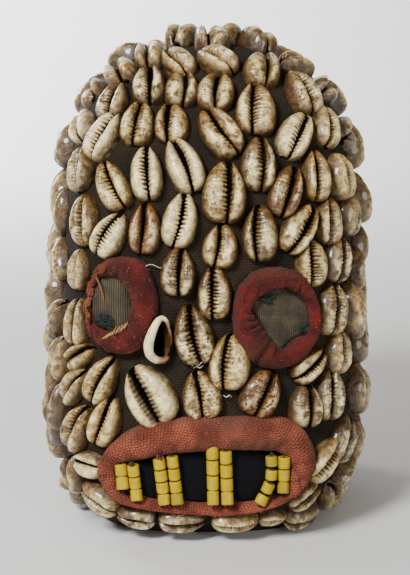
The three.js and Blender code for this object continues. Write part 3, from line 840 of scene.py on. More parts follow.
# %% Shell tones
SHELL_TONES = {
    "cream": light_of(200, 168, 96),
    "tan": light_of(164, 129, 64),
    "brown": light_of(117, 87, 40),
    "white": light_of(236, 218, 160),
    "orange": light_of(150, 94, 34),
    "grey": light_of(176, 150, 92),
}
COMMON_TONES = ["cream", "tan", "brown", "tan", "cream", "brown", "tan", "grey", "tan", "tan"]
STAIN_OF_WORD = {"white": 0.5, "orange": 0.9, "worn": 0.5, "brown": 0.9}
POLISH_AND_HIGHLIGHT_OF_TONE = {"white": 1.0, "orange": 0.5, "worn": 0.6}
LONGEST_TOOTH = 0.34
PLUMP_AND_THIN = (1.0, 0.9)


def shell_looks(seed, word=""):
    common = COMMON_TONES[int(uneven(seed + 0.71) * len(COMMON_TONES))]
    words = word.split() or [common]
    tone = "grey" if "worn" in words else next((one for one in words if one in SHELL_TONES), common)
    stain = STAIN_OF_WORD.get(words[0])
    toothed = 0.55 + 0.85 * uneven(seed + 0.2)
    if "teeth" in words:
        toothed = 1.5
    elif "worn" in words:
        toothed = 0.3
    reach = (0.4 if "teeth" in words else 0.48) + 0.14 * uneven(seed + 0.33)
    is_open = "open" in words
    if is_open:
        reach = 0.58
    plump_left = uneven(seed + 0.41) > 0.5
    smoother = 1.0 if "teeth" in words else 0.4 + 0.5 * uneven(seed + 0.77)
    tooth_height = (LONGEST_TOOTH * toothed * smoother, LONGEST_TOOTH * toothed)
    tooth_from = (min(reach + 0.12, 0.68), reach)
    ribbed = smooth(uneven(seed + 0.65), 0.3, 0.7) * (0.5 if tone == "white" else 1.0)
    speckle = 0.3 if tone == "white" else 0.3 + 0.5 * uneven(seed + 0.6)
    return {
        "seed": seed * 1.7,
        "tone": SHELL_TONES[tone],
        "stain": 0.5 + 0.5 * uneven(seed + 0.5) if stain is None else stain,
        "crest_polish_and_highlight": POLISH_AND_HIGHLIGHT_OF_TONE.get(tone, 0.6 + 0.4 * uneven(seed + 0.83)),
        "tooth_height": tooth_height if plump_left else tooth_height[::-1],
        "tooth_from": tooth_from if plump_left else tooth_from[::-1],
        "fullness": PLUMP_AND_THIN if plump_left else PLUMP_AND_THIN[::-1],
        "off": (0.08 if plump_left else -0.08) * (0.4 + uneven(seed + 0.9)),
        "bend": 0.2 * (uneven(seed + 0.15) - 0.5),
        "skew": 0.76 + 0.14 * uneven(seed + 0.25),
        "slit": 1.6 if is_open else 0.7 + 0.55 * uneven(seed + 0.35),
        "inner_dirt_and_shade": 0.54 if is_open else 0.1 + 0.28 * uneven(seed + 0.85),
        "tall": 0.95 + 0.2 * uneven(seed + 0.45),
        "folds": uneven(seed + 0.55),
        "ribbed": 0 if is_open else ribbed,
        "speckle": 1.0 if "speckled" in words else speckle,
    }


print("tones of shell:", ", ".join(SHELL_TONES))

# %% [markdown]
# The finish of all shells is one material that reads what was painted on their points. Real shell
# is glossy enamel with brown dirt in its hollows. The gaps between the teeth, the walls of the slit
# and the ribs are painted dark brown, as dirt and painted shade together, and the slit itself is
# painted near black, as shade. The crests of the lips are painted pale, as polish and painted
# highlight; the low sides near the cloth are painted darker, as grime and painted shade; and
# blotches, veins and spots of stain lie between. The coat and the gloss go down where the grooves
# are dark, and the grooves and low sides are rougher. Low, soft dents keep the highlights from being
# those of new porcelain.

# %% Shell finish
STAIN_TINT = light_of(142, 108, 58)
VEIN_BROWN = light_of(74, 51, 23)
# Pale cream of the crests: polish and painted highlight.
POLISH_AND_HIGHLIGHT_CREAM = light_of(244, 224, 160)
SPECKLE_BROWN = light_of(56, 33, 13)
# Darker low sides: grime and painted shade.
LOW_SIDE_GRIME_AND_SHADE = light_of(52, 32, 8)
# Grooves: dirt and painted shade.
GROOVE_DIRT_AND_SHADE = light_of(40, 23, 8)
# Slit: painted shade, near black.
SLIT_SHADE_BLACK = light_of(6, 4, 2)


def both(tree, first, second, share=None):
    product = maths(tree, "MULTIPLY", first, second)
    return product if share is None else maths(tree, "MULTIPLY", product, share)


shell_enamel, tree, shader = finish("shell_enamel")
tone = painted(tree, "shell_tone", "Color")
stain = painted(tree, "stain")
between = painted(tree, "between_teeth")
polish_and_highlight = painted(tree, "polish_and_highlight")
low_side = painted(tree, "low_side")
speckle = painted(tree, "speckle")

blotches = stretch(tree, mottle(tree, 4.2, 4, 5.0), 0.36, 0.56)
spots = stretch(tree, mottle(tree, 1.3, 3, 6.0), 0.51, 0.6)
veins = stretch(tree, mottle(tree, 2.0, 5, 7.0), 0.44, 0.53)
stained = blend(tree, 1.0, tone, STAIN_TINT, "MULTIPLY")
crest_pale_patches = stretch(tree, mottle(tree, 3.2, 3, 7.5), 0.36, 0.6)
colour = blend(tree, both(tree, blotches, stain, 0.95), tone, stained)
colour = blend(tree, both(tree, veins, stain, 0.72), colour, VEIN_BROWN)
# Painted highlight and polish: the crests go pale cream.
colour = blend(tree, both(tree, polish_and_highlight, crest_pale_patches, 1.15), colour, POLISH_AND_HIGHLIGHT_CREAM)
colour = blend(tree, both(tree, spots, speckle), colour, SPECKLE_BROWN)
# Painted shade and grime: the low sides go darker.
grime_and_shade_breakup = stretch(tree, mottle(tree, 3.0, 3, 8.0), 0.25, 0.7, 0.55, 1.0)
colour = blend(tree, both(tree, low_side, grime_and_shade_breakup), colour, LOW_SIDE_GRIME_AND_SHADE)
# Dirt and painted shade darken the grooves.
colour = blend(tree, stretch(tree, between, 0.05, 0.5, 0.0, 0.85), colour, GROOVE_DIRT_AND_SHADE)
# Painted shade turns the slit near black.
colour = blend(tree, stretch(tree, between, 0.55, 0.8), colour, SLIT_SHADE_BLACK)
join(tree, colour, shader["Base Color"])
dull = maths(tree, "MULTIPLY", maths(tree, "MAXIMUM", low_side, between), 0.3)
join(tree, maths(tree, "ADD", dull, 0.27), shader["Roughness"])
open_enamel = maths(tree, "SUBTRACT", 1.0, between)
join(tree, maths(tree, "MULTIPLY", open_enamel, 0.5), shader["Coat Weight"])
join(tree, maths(tree, "MULTIPLY", open_enamel, 0.5), shader["Specular IOR Level"])
shader["Coat Roughness"].default_value = 0.12
small_dents = maths(tree, "MULTIPLY", mottle(tree, 0.8, 2, 9.5), 0.22)
dents = maths(tree, "ADD", mottle(tree, 2.8, 2, 9.0), small_dents)
join(tree, raised(tree, dents, 1.5, 0.8), shader["Normal"])

# %% [markdown]
# Two hundred shells could be two hundred objects, but a row of shells moves and is looked after as
# one. So the shells of a group are made one by one and joined in one mesh, each closed at both ends
# by a flat face. The shells nearest the middle of the face come through here alone, as groups of
# one. Each shell's tone, stain and speckle are painted on all its points, and this is how one
# material can colour them all differently.

# %% Shells of a group become one piece
def shells_piece(name, frames, looks, stations, columns, *nodes):
    points, faces, values = [], [], {}
    first = 0
    for number, look in enumerate(looks):
        made, shape, painted_values = cowrie(frames, number, look, stations, columns)
        rows, around = shape
        faces += grid_faces(rows, around, round_columns=True, first=first).tolist()
        faces.append(list(range(first + around - 1, first - 1, -1)))
        faces.append(list(range(first + (rows - 1) * around, first + rows * around)))
        painted_values["polish_and_highlight"] = painted_values["polish_and_highlight"] * look["crest_polish_and_highlight"]
        painted_values["shell_tone"] = np.tile(look["tone"], (len(made), 1))
        for key in ("stain", "speckle"):
            painted_values[key] = np.full(len(made), look[key])
        for key, value in painted_values.items():
            values.setdefault(key, []).append(value)
        points.append(made)
        first += len(made)
    values = {key: np.concatenate(value) for key, value in values.items()}
    piece = mesh_object(name, np.vstack(points), faces, values, material=shell_enamel)
    dress(piece, "shell", *nodes)
    print(f"{name}: {len(looks)} made, {first} points")


# %% [markdown]
# The shells of the face, row by row as they were sewn. They could be spread by a rule, but their
# uneven rows are what gives this face its look, so each is placed one by one. Each line holds a place
# across and up as seen from the front, the lean to the right in degrees, the length and the width,
# and a word or two for those that stand out. Those nearest the middle are pieces of their own, as in
# the solid model.

# %% Places of the face's shells
loose_rows = {
    "crown": [
        (3, 105, 0, 21, 16), (-23.5, 99, 0, 20, 13.5), (-11.5, 96, -45, 19, 14),
        (5, 96, -60, 20, 15), (22, 104.5, -60, 23, 16), (24, 93, 0, 20, 16.5),
        (39, 95, -65, 20, 13), (42, 83.5, -27, 24, 15.5), (53, 85, 35, 21, 14),
        (-37, 92, -20, 20, 15), (-49, 83, 0, 20, 14), (-40, 80, 20, 20, 15),
        (-24, 86.5, 0, 21, 15), (-10, 85, 3, 19, 15), (4.5, 83.5, 8, 20, 17),
    ],
    "forehead": [
        (-54, 69.5, 5, 19, 13, "white"), (-44, 65, 32, 24, 14.5, "white teeth"), (-14, 70, 3, 19, 15),
        (52.5, 69, -5, 21, 14), (61, 66, 0, 22, 14), (-55, 50.5, 5, 21, 15),
        (-40, 43.5, -25, 23.5, 14.5, "cream teeth"), (48, 47.5, -3, 23, 13.5), (59.5, 47, -10, 21, 15),
    ],
    "brow": [
        (-53, 28.5, 0, 23, 15), (-41, 22, 33, 21, 14, "white teeth"), (54.5, 28, 0, 21, 14),
        (63.5, 31, 0, 20, 15), (-63.5, 32, 0, 21, 14), (-63, 12, 0, 21, 14),
        (-56, 7.5, 3, 18, 12, "worn"), (46.5, 10, -2, 20.5, 15, "cream teeth"), (58, 12, 5, 21, 14),
        (55.5, -9.5, 5, 23, 16), (66, 8, 0, 21, 14),
    ],
    "cheek": [
        (-63.5, -13, 10, 23, 15), (-56, -14.5, 3, 21, 12, "worn"), (-55, -29, 60, 18, 11),
        (-67, -36, 15, 22, 15), (-57.5, -41, 35, 20, 13, "worn"), (-45, -39, 30, 23, 14),
        (-56, -59, 22, 23, 15), (-43, -56.5, 22, 23, 14), (-65, -58, 5, 21, 14),
        (45.5, -33, 50, 19, 12), (58.5, -27, 3, 20, 15.5), (67, -12, 0, 21, 14),
        (54, -45, 3, 23, 15, "brown teeth"), (65.5, -42, 0, 21, 15), (43.5, -50, 0, 19, 15.5),
    ],
    "jaw": [
        (-52, -75, -75, 17, 12, "white"), (-58, -79, -10, 20, 13), (52.5, -72.5, 38, 23.5, 14, "cream teeth"),
        (60, -63.5, 15, 22, 14), (54, -88, 15, 20, 14), (63.5, -79, 5, 21, 14),
    ],
    "chin": [
        (-46, -90, -55, 20, 12.5), (-29.5, -97.3, -80, 18, 10.8), (-9.5, -98.4, 90, 21, 10.5),
        (12.5, -99.1, 90, 21, 10.5), (42, -97, 70, 20, 11), (29, -98.8, 85, 13, 9.3, "worn"),
        (43.5, -89, 50, 17, 9.5),
    ],
}
middle_shells = {
    "forehead": [
        (-28.5, 70, 12, 21, 15, "cream teeth"), (6, 66, -35, 25.5, 16.5, "tan"),
        (21.5, 76, 2, 25, 18, "cream teeth"), (38.5, 65, 25, 23.5, 15, "white teeth"),
        (-25, 48.5, -3, 24, 14, "white teeth"), (-9, 52, -22, 25.5, 15.5, "white"),
        (8, 40.5, 2, 27, 19, "cream teeth"), (22.5, 52.5, 0, 24.5, 15.5, "brown teeth"),
        (34.5, 41, 16, 23.5, 14, "orange"),
    ],
    "brow": [
        (-25.5, 25, 5, 22, 14, "orange"), (-10.5, 28.5, 12, 24, 15, "white teeth"),
        (6.5, 17.5, 8, 19, 15.5, "tan"), (23.5, 23, 0, 24.5, 15.5, "brown teeth"),
        (40.5, 25, 32, 24, 14, "tan teeth"),
    ],
    "nose": [
        (-11.5, 6.5, 4, 21, 15, "brown"), (4, -2.5, 0, 23, 14.5, "tan teeth"),
        (-5, -20, -12, 26, 17, "brown teeth"), (10.5, -31.5, 6, 24.5, 18, "cream teeth"),
    ],
    "cheek": [
        (-23.5, -45.5, -30, 28, 21, "white open teeth"), (-1.5, -45.5, -10, 21.5, 17, "cream"),
        (24, -44.5, 25, 21.5, 17, "orange speckled"),
    ],
}
broken_row = (-18.9, -21.5, 0, 20, 11.5)
for kind, placed in (("loose", loose_rows), ("middle", middle_shells)):
    print(kind, "shells of the face:", {name: len(rows) for name, rows in placed.items()})

# %% [markdown]
# Now they are sewn on. The shells in the middle of the face come first, each a piece that stands for
# one node of the solid model, and then the loose ones, in six groups. Near the crown the shells
# stand up more, because the outline of the mask is fuller there. The face is looked at closely, so
# its shells have twice the stations of those at the sides and back.

# %% Shells of the face
FACE_STATIONS = 88
FACE_COLUMNS = 12
EDGE_STATIONS = 44
EDGE_COLUMNS = 8
FIRST_FACE_SEED = 100
SEEDS_PER_ROW = 20
CROWN_STANDS_UP = 0.4
CROWN_RISE_FROM = 82
CROWN_RISE_TO = 100


def rows_frames(rows):
    return seen_frames([row[:5] for row in rows])


def rows_looks(rows, first_seed):
    return [shell_looks(first_seed + step, row[5] if len(row) > 5 else "") for step, row in enumerate(rows)]


seed = FIRST_FACE_SEED
face_frames = []
for row_name, rows in middle_shells.items():
    frames = rows_frames(rows)
    face_frames.append(frames)
    for number, look in enumerate(rows_looks(rows, seed)):
        one = {key: value[number : number + 1] for key, value in frames.items()}
        name = f"{row_name}_cowrie_{number + 1}"
        shells_piece(f"{name}_shell", one, [look], FACE_STATIONS, FACE_COLUMNS, name)
    seed += SEEDS_PER_ROW
for row_name, rows in loose_rows.items():
    frames = rows_frames(rows)
    face_frames.append(frames)
    looks = rows_looks(rows, seed)
    for place_on_face, look in zip(rows, looks):
        look["tall"] *= 1 + CROWN_STANDS_UP * smooth(place_on_face[1], CROWN_RISE_FROM, CROWN_RISE_TO)
    shells_piece(f"{row_name}_cowries", frames, looks, FACE_STATIONS, FACE_COLUMNS)
    seed += SEEDS_PER_ROW
face_frames.append(rows_frames([broken_row]))
print("shells of the face:", sum(len(frames["foot"]) for frames in face_frames))

# %% [markdown]
# Round the sides, the back and the crown the shells are sewn in level rows, the lowest lying
# lengthwise along the rim. They could be placed from a table, but these rows are plain and even, so
# a rule is enough. The rows are walked here as a sewer would: start at the middle of the face, step a
# shell's width along the cloth, and sew where nothing is yet. First come the measures: how high each
# row lies when the rows are a shell's length apart, and how far round the head a step takes one.

# %% Walking along the cloth
ROW_STEP = 22
LOWEST_ROW = 11
TOP_LEFT_BARE = 1.2
LEVEL_STEP = 0.1
ANGLE_STEP = 0.01
MEASURED_AT_ANGLE = 0.3


def row_heights():
    z = LOWEST_ROW + LEVEL_STEP * np.arange(int((CROWN_TOP - TOP_LEFT_BARE - LOWEST_ROW) / LEVEL_STEP) + 2)
    points = skin_point(z, np.full(len(z), MEASURED_AT_ANGLE), 0)
    heights, left = [LOWEST_ROW], ROW_STEP
    for step in range(1, len(z)):
        left -= np.linalg.norm(points[step] - points[step - 1])
        if left <= 0:
            heights.append(z[step])
            left = ROW_STEP
        if z[step] >= CROWN_TOP - TOP_LEFT_BARE:
            break
    return heights


def walk(z, start, distance):
    angle = start + ANGLE_STEP * np.arange(int(2 * math.pi / ANGLE_STEP) + 2)
    points = skin_point(np.full(len(angle), z), angle, 0)
    walked = np.cumsum(np.linalg.norm(np.diff(points, axis=0), axis=1))
    reached = np.nonzero(walked >= distance)[0]
    return angle[reached[0] + 1] if len(reached) else angle[-1]


print("rows at", *(round(float(z), 1) for z in row_heights()), "mm up")

# %% [markdown]
# Then the sewing. Each shell stands upright on the cloth, or lies along the rim in the lowest row,
# with a small lean of its own. One is left out where a shell of the face is near, or where the camera
# would see it under a ring or the lips. The shells of the sides stand about two fifths of their
# length off the cloth and those of the crown a little more, because the outline of the mask is that
# full there. The lowest three rows lie flatter.

# %% Shells of the sides, back and crown
COLUMN_STEP = 19.5
SEARCH_STEP = 2.5
ROW_TURN = 0.07
CLEAR = np.array([14.5, 20, 14.5])
SIDE_LENGTH = 22.5
SIDE_WIDTH = 15.5
SIZE_LEAST = 0.9
SIZE_RANGE = 0.2
RIM_LEAN = 10
UPRIGHT_LEAN = 26
LOW_ROWS = 3
SIDE_ROWS = 8
LOW_ROWS_TALL = 1.18
SIDE_ROWS_TALL = 1.36
CROWN_ROWS_TALL = 1.45
FIRST_SEWN_SEED = 400
SEEDS_PER_SEWN_ROW = 30
PAD_CLEAR = 6.5
RING_AND_LIP_OVALS = [(0.8, -75.2, 45, 20.3), (-35.6, -7.3, 16.4, 21.2), (30.3, -12.7, 18, 21.2)]


def turned(vector, axis, angle):
    return np.array(Matrix.Rotation(angle, 3, Vector(axis)) @ Vector(vector))


def sewn_frame(z, angle, lengthwise, seed):
    foot = skin_point(np.array([z]), np.array([angle]), 0)
    out = unit(slope(foot, 0))
    towards = np.array([0.0, 0, 1])
    if lengthwise:
        towards = np.cross(towards, out[0])
    elif out[0, 2] > 0.9:
        towards = np.array([0.3, 1, 0])
    turn = (uneven(seed) - 0.5) * (RIM_LEAN if lengthwise else UPRIGHT_LEAN)
    made = frames_at(foot, out, turned(towards, out[0], math.radians(turn))[None, :])
    made["length"] = np.array([SIDE_LENGTH * (SIZE_LEAST + SIZE_RANGE * uneven(seed + 0.3))])
    made["width"] = np.array([SIDE_WIDTH * (SIZE_LEAST + SIZE_RANGE * uneven(seed + 0.6))])
    return made


def under_pad(foot):
    if foot[1] > HEAD_MIDDLE:
        return False
    away = foot - view_point
    nearer = SIGHT_PLANE / (away @ view_ahead)
    across, up = away[0] * nearer, (away @ view_up) * nearer
    for middle, height, half, tall in RING_AND_LIP_OVALS:
        if math.hypot((across - middle) / (half + PAD_CLEAR), (up - height) / (tall + PAD_CLEAR)) < 1:
            return True
    return False


def sewn_rows(feet):
    sewn = []
    seed = 1
    for row, z in enumerate(row_heights()):
        start = math.pi * 1.5 + row * ROW_TURN
        angle = start
        while angle < start + 2 * math.pi - ROW_TURN:
            made = sewn_frame(z, angle, row == 0, seed)
            axes = np.stack([made["across"][0], made["along"][0], made["out"][0]], axis=1)
            near = np.linalg.norm((feet - made["foot"]) @ axes / CLEAR, axis=1).min() < 1
            free = not near and not under_pad(made["foot"][0])
            if free:
                sewn.append((row, made))
                feet = np.vstack([feet, made["foot"]])
            step = ROW_STEP + SEARCH_STEP if row == 0 else COLUMN_STEP
            angle = walk(z, angle, step if free else SEARCH_STEP)
            seed += 1
    return sewn


def row_tall(row):
    if row < LOW_ROWS:
        return LOW_ROWS_TALL
    return SIDE_ROWS_TALL if row < SIDE_ROWS else CROWN_ROWS_TALL


sewn = sewn_rows(np.vstack([frames["foot"] for frames in face_frames]))
for row in sorted({row for row, _ in sewn}):
    made = [one for of_row, one in sewn if of_row == row]
    frames = {key: np.concatenate([one[key] for one in made]) for key in made[0]}
    looks = [shell_looks(FIRST_SEWN_SEED + SEEDS_PER_SEWN_ROW * row + step) for step in range(len(made))]
    for look in looks:
        look["tall"] *= row_tall(row)
    shells_piece(f"sewn_row_{row + 1}_cowries", frames, looks, EDGE_STATIONS, EDGE_COLUMNS)
print("sewn rows:", row + 1, "with", len(sewn), "shells")

# %% [markdown]
# The padded rings are cotton cloth rolled over stuffing and sewn down along both edges. Each is a
# skin between two outlines, that of the opening and that of the outer edge. An outline could be
# drawn with dozens of points, but a smooth curve through a few corners is easier to change. The
# points are then spaced evenly round the ring, so that the weave isn't pulled long anywhere.

# %% Outlines of a ring
LOOP_POINTS = 720


def through_corners(a, b, c, d, t):
    return 0.5 * (2 * b + (c - a) * t + (2 * a - 5 * b + 4 * c - d) * t**2 + (3 * b - a - 3 * c + d) * t**3)


def smooth_loop(corners, count):
    corners = np.asarray(corners, float)
    total = len(corners)
    part = np.arange(count) / count * total
    first = part.astype(int)
    t = (part - first)[:, None]
    return through_corners(*(corners[(first + shift) % total] for shift in (-1, 0, 1, 2)), t)


def round_oval(oval, power):
    def outer_of(loop):
        middle, height, half, tall = oval
        turn = np.arctan2(loop[:, 0] - loop[:, 0].mean(), loop[:, 1] - loop[:, 1].mean())
        across = middle + half * signed_power(np.sin(turn), 2 / power)
        return np.stack([across, height + tall * signed_power(np.cos(turn), 2 / power)], axis=1)

    return outer_of


def evenly(inner_corners, outer_of, count):
    inner = smooth_loop(inner_corners, LOOP_POINTS)
    outer = outer_of(inner)
    middle = (inner + outer) / 2
    steps = np.linalg.norm(np.roll(middle, -1, axis=0) - middle, axis=1)
    walked = np.concatenate([[0], np.cumsum(steps)])
    wanted = np.linspace(0, walked[-1], count, endpoint=False)
    where = np.arange(LOOP_POINTS + 1)
    picked = np.interp(wanted, walked, where)
    loops = []
    for loop in (np.vstack([inner, inner[:1]]), np.vstack([outer, outer[:1]])):
        loops.append(np.stack([np.interp(picked, where, loop[:, axis]) for axis in (0, 1)], axis=1))
    return loops[0], loops[1], wanted


square_loop = smooth_loop([(-1, -1), (1, -1), (1, 1), (-1, 1)], LOOP_POINTS)
print("four corners of a square give a loop that reaches", square_loop.max(axis=0).round(2))

# %% [markdown]
# Across the ring its skin is a flattened arch that starts and ends a little below the cloth, where
# it is sewn down. Creases are dents at a few places round the ring, deep at the opening and fading
# outwards. Fine puckers run in from both edges, one for each stitch.

# %% The padded section
RING_SECTIONS = 34
TUCKED_UNDER = 0.16
RING_TURN = np.linspace(-TUCKED_UNDER, 1 + TUCKED_UNDER, RING_SECTIONS) * np.pi
RING_SHARE = 0.5 - 0.5 * np.cos(RING_TURN)
ARCH_ROUNDNESS = 0.72
EDGE_SINE = 0.48
EDGE_SUNK = 0.17
CREASE_FADES_OVER = 0.3
INNER_PUCKER = 0.28
OUTER_PUCKER = 0.16


def ring_points(inner, outer, height, fullness, creases, gather):
    around, sections = len(inner), RING_SECTIONS
    turn, share = RING_TURN, RING_SHARE
    arch = np.abs(np.sin(turn)) ** ARCH_ROUNDNESS
    rise = np.where(np.sin(turn) > 0, arch, np.sin(turn) / EDGE_SINE * EDGE_SUNK)
    part = np.arange(around) / around
    dent = np.zeros((around, sections))
    for where, depth, width, reach in creases:
        off = (part - where + 0.5) % 1 - 0.5
        fade = 1 - smooth(share, reach, reach + CREASE_FADES_OVER)
        dent += depth * bell(off, 0, width)[:, None] * fade[None, :] * (np.sin(turn) > 0)
    wave = np.sin(2 * np.pi * gather * part + 2 * np.sin(2 * np.pi * 5 * part))
    flat = inner[:, None, :] + (outer - inner)[:, None, :] * share[None, :, None]
    puckers = INNER_PUCKER * wave[:, None] * bell(share, 0.08, 0.3)[None, :]
    outer_wave = np.sin(2 * np.pi * gather * 0.7 * part)
    puckers = puckers + OUTER_PUCKER * outer_wave[:, None] * bell(share, 0.9, 0.2)
    lifts = rise[None, :] * height * fullness[:, None] - dent + puckers * (rise > 0)
    points = lifted_at(flat.reshape(-1, 2), lifts.ravel())
    return points, (around, sections)


first_turn, last_turn = np.degrees(RING_TURN[[0, -1]]).round()
print("a ring's section turns from", first_turn, "to", last_turn, "degrees")

# %% [markdown]
# Padding is hard to draw and easy to simulate. The ring is lofted a little slack, its two sewn edges
# are held, and Blender's cloth solver blows it up from inside, so that the slack cloth buckles as on
# the real one. The solver likes large things, so the ring is blown up in a scale of its own. A point
# may move only so far, which keeps the ring near its drawn shape.

# %% Blowing up a ring
SIM_SCALE = 20
SIM_FRAMES = 20
SIM_PRESSURE = 4
SIM_SLACK = 0.06
MOST_BLOWN_MM = 1.4


def blown_up(points, shape):
    centre = points.mean(axis=0)
    mesh = bpy.data.meshes.new("ring_to_blow_up")
    faces = grid_faces(*shape, round_rows=True, round_columns=True)
    mesh.from_pydata(((points - centre) * MM * SIM_SCALE).tolist(), [], faces.tolist())
    ring = bpy.data.objects.new("ring_to_blow_up", mesh)
    bpy.context.scene.collection.objects.link(ring)
    sections = shape[1]
    held = [row * sections + edge for row in range(shape[0]) for edge in (0, 1, sections - 2, sections - 1)]
    ring.vertex_groups.new(name="sewn_down").add(held, 1.0, "REPLACE")
    cloth = ring.modifiers.new("cloth", "CLOTH")
    cloth.settings.vertex_group_mass = "sewn_down"
    cloth.settings.quality = 6
    cloth.settings.mass = 0.3
    cloth.settings.tension_stiffness = 12
    cloth.settings.compression_stiffness = 12
    cloth.settings.shear_stiffness = 4
    cloth.settings.bending_stiffness = 0.3
    cloth.settings.use_pressure = True
    cloth.settings.uniform_pressure_force = SIM_PRESSURE
    cloth.settings.shrink_min = -SIM_SLACK
    cloth.settings.effector_weights.gravity = 0
    cloth.collision_settings.use_collision = False
    cloth.point_cache.frame_start = 1
    cloth.point_cache.frame_end = SIM_FRAMES
    scene = bpy.context.scene
    for step in range(1, SIM_FRAMES + 1):
        scene.frame_set(step)
    blown = ring.evaluated_get(bpy.context.evaluated_depsgraph_get()).to_mesh()
    places = np.empty(len(points) * 3)
    blown.vertices.foreach_get("co", places)
    moved = places.reshape(-1, 3) / (MM * SIM_SCALE) + centre - points
    bpy.data.objects.remove(ring)
    bpy.data.meshes.remove(mesh)
    scene.frame_set(1)
    far = np.linalg.norm(moved, axis=1, keepdims=True)
    print("blown up by", round(float(far.mean()), 2), "mm on average, at most", round(float(far.max()), 2))
    return points + moved * np.minimum(1, MOST_BLOWN_MM / np.maximum(far, 1e-9))


print("a ring is blown up", f"in {SIM_FRAMES} steps")

# %% [markdown]
# One function takes a ring from its two outlines to its finished piece. The stuffing is thinner at a
# few places. Lengths measured along and across the skin lay the weave on it. Each tint, such as
# faded or dirty, is painted as soft spots at places of the face, for the ring's finish to read.

# %% From outlines to a padded ring
def turn_outwards(piece):
    edit = bmesh.new()
    edit.from_mesh(piece.data)
    bmesh.ops.recalc_face_normals(edit, faces=edit.faces)
    edit.to_mesh(piece.data)
    edit.free()


def spot(across, up, centre_across, centre_up, reach_across, reach_up):
    away = ((across - centre_across) / reach_across) ** 2 + ((up - centre_up) / reach_up) ** 2
    return np.exp(-away)


def ring_piece(name, inner_corners, outer_of, around, height, thin_at, creases, gather, finish_used, tints):
    inner, outer, walked = evenly(inner_corners, outer_of, around)
    middle = (inner + outer) / 2
    fullness = np.ones(around)
    for *thin_spot, share in thin_at:
        fullness -= share * spot(middle[:, 0], middle[:, 1], *thin_spot)
    points, shape = ring_points(inner, outer, height, fullness, creases, gather)
    points = blown_up(points, shape)
    grid = points.reshape(*shape, 3)
    steps = np.linalg.norm(np.diff(grid, axis=1), axis=2)
    rise = np.concatenate([np.zeros((shape[0], 1)), np.cumsum(steps, axis=1)], axis=1)
    uv = np.stack([np.broadcast_to(walked[:, None], shape), rise], axis=-1).reshape(-1, 2)
    flat = inner[:, None, :] + (outer - inner)[:, None, :] * RING_SHARE[None, :, None]
    values = {}
    for key, spots in tints.items():
        values[key] = np.zeros(len(points))
        for tinted in spots:
            values[key] = np.maximum(values[key], spot(flat[..., 0].ravel(), flat[..., 1].ravel(), *tinted))
    faces = grid_faces(*shape, round_rows=True, round_columns=True)
    made = mesh_object(name, points, faces.tolist(), values, uv, finish_used)
    turn_outwards(made)
    print(f"{name}: {walked[-1]:.0f} mm round, {shape[0]} by {shape[1]} points")
    return made, grid


# %% [markdown]
# The eye rings are dark red cotton, faded brown on top, and the left one is worn through to
# orange-brown folds at its outer side. The cotton is woven as the head's cloth is, with its own
# tints read from what is painted on the ring, and painted shade darkens the gaps between its threads.
# The lips below use the same recipe.

# %% Red cotton
PILL_PINK = light_of(176, 96, 66)


def ring_cloth(name, dark, light, thread_gap_shade, thread_mm, depth_mm, tints):
    material, tree, shader = finish(name)
    threads = weave(tree, thread_mm, flat_place(tree), 0.3)
    patches = stretch(tree, mottle(tree, 9, 4, 11.0), 0.35, 0.66)
    colour = blend(tree, patches, dark, light)
    for key, tint, strength in tints:
        share = maths(tree, "MULTIPLY", painted(tree, key), strength)
        broken_up = stretch(tree, mottle(tree, 3, 3, 12.0), 0.25, 0.6, 0.55, 1.0)
        colour = blend(tree, both(tree, share, broken_up), colour, tint)
    # Painted shade in the gaps between the threads.
    colour = blend(tree, stretch(tree, threads, 0.1, 0.62, 0.8, 0.0), colour, thread_gap_shade)
    flecks = stretch(tree, mottle(tree, 0.9, 2, 13.0), 0.6, 0.7)
    colour = blend(tree, maths(tree, "MULTIPLY", flecks, 0.22), colour, PILL_PINK)
    join(tree, colour, shader["Base Color"])
    shader["Roughness"].default_value = 0.92
    shader["Sheen Weight"].default_value = 0.04
    shader["Specular IOR Level"].default_value = 0.2
    join(tree, raised(tree, threads, depth_mm), shader["Normal"])
    return material


red_cotton = ring_cloth(
    "red_cotton",
    dark=light_of(60, 14, 11),
    light=light_of(102, 28, 21),
    thread_gap_shade=light_of(22, 5, 4),
    thread_mm=0.7,
    depth_mm=0.5,
    tints=[
        ("faded", light_of(86, 46, 32), 0.75),
        ("orange_worn", light_of(124, 62, 36), 0.8),
        ("bright", light_of(146, 12, 16), 0.5),
    ],
)

# %% [markdown]
# The openings of the rings aren't round: the stitches pull the cloth in at a few places, and between
# them it stands slack. Each opening is a few corners, and the outer edge is an oval. Each crease is
# a place round the ring, a depth, a width and how far out it reaches. Each tint is spots, given by
# their middle and their reach.

# %% Eye rings
EYE_RING_POINTS = 220
EYE_RING_HEIGHT = 9
EYE_RING_PUCKERS = 26
EYE_RING_SQUARENESS = 2.25
left_opening = [
    (-40.8, 5.0), (-37.2, 3.6), (-33.8, -2.8), (-31.4, -10.8), (-33.4, -16.2),
    (-41.8, -18.4), (-47.4, -13.6), (-49.6, -6.0), (-46.0, 2.0),
]
right_opening = [
    (22.6, -3.6), (31.4, -1.0), (39.6, -5.2), (45.2, -10.8), (44.2, -17.2),
    (36.6, -21.6), (31.4, -26.2), (28.0, -22.0), (24.0, -14.6), (20.4, -9.0),
]
left_creases = [
    (0.02, 1.2, 0.012, 0.2), (0.2, 1.0, 0.01, 0.15), (0.34, 1.3, 0.012, 0.25), (0.47, 1.4, 0.012, 0.3),
    (0.62, 1.8, 0.014, 0.7), (0.71, 1.6, 0.02, 0.9), (0.79, 2.2, 0.016, 1.0), (0.86, 1.8, 0.016, 1.0),
    (0.93, 1.8, 0.014, 0.9),
]
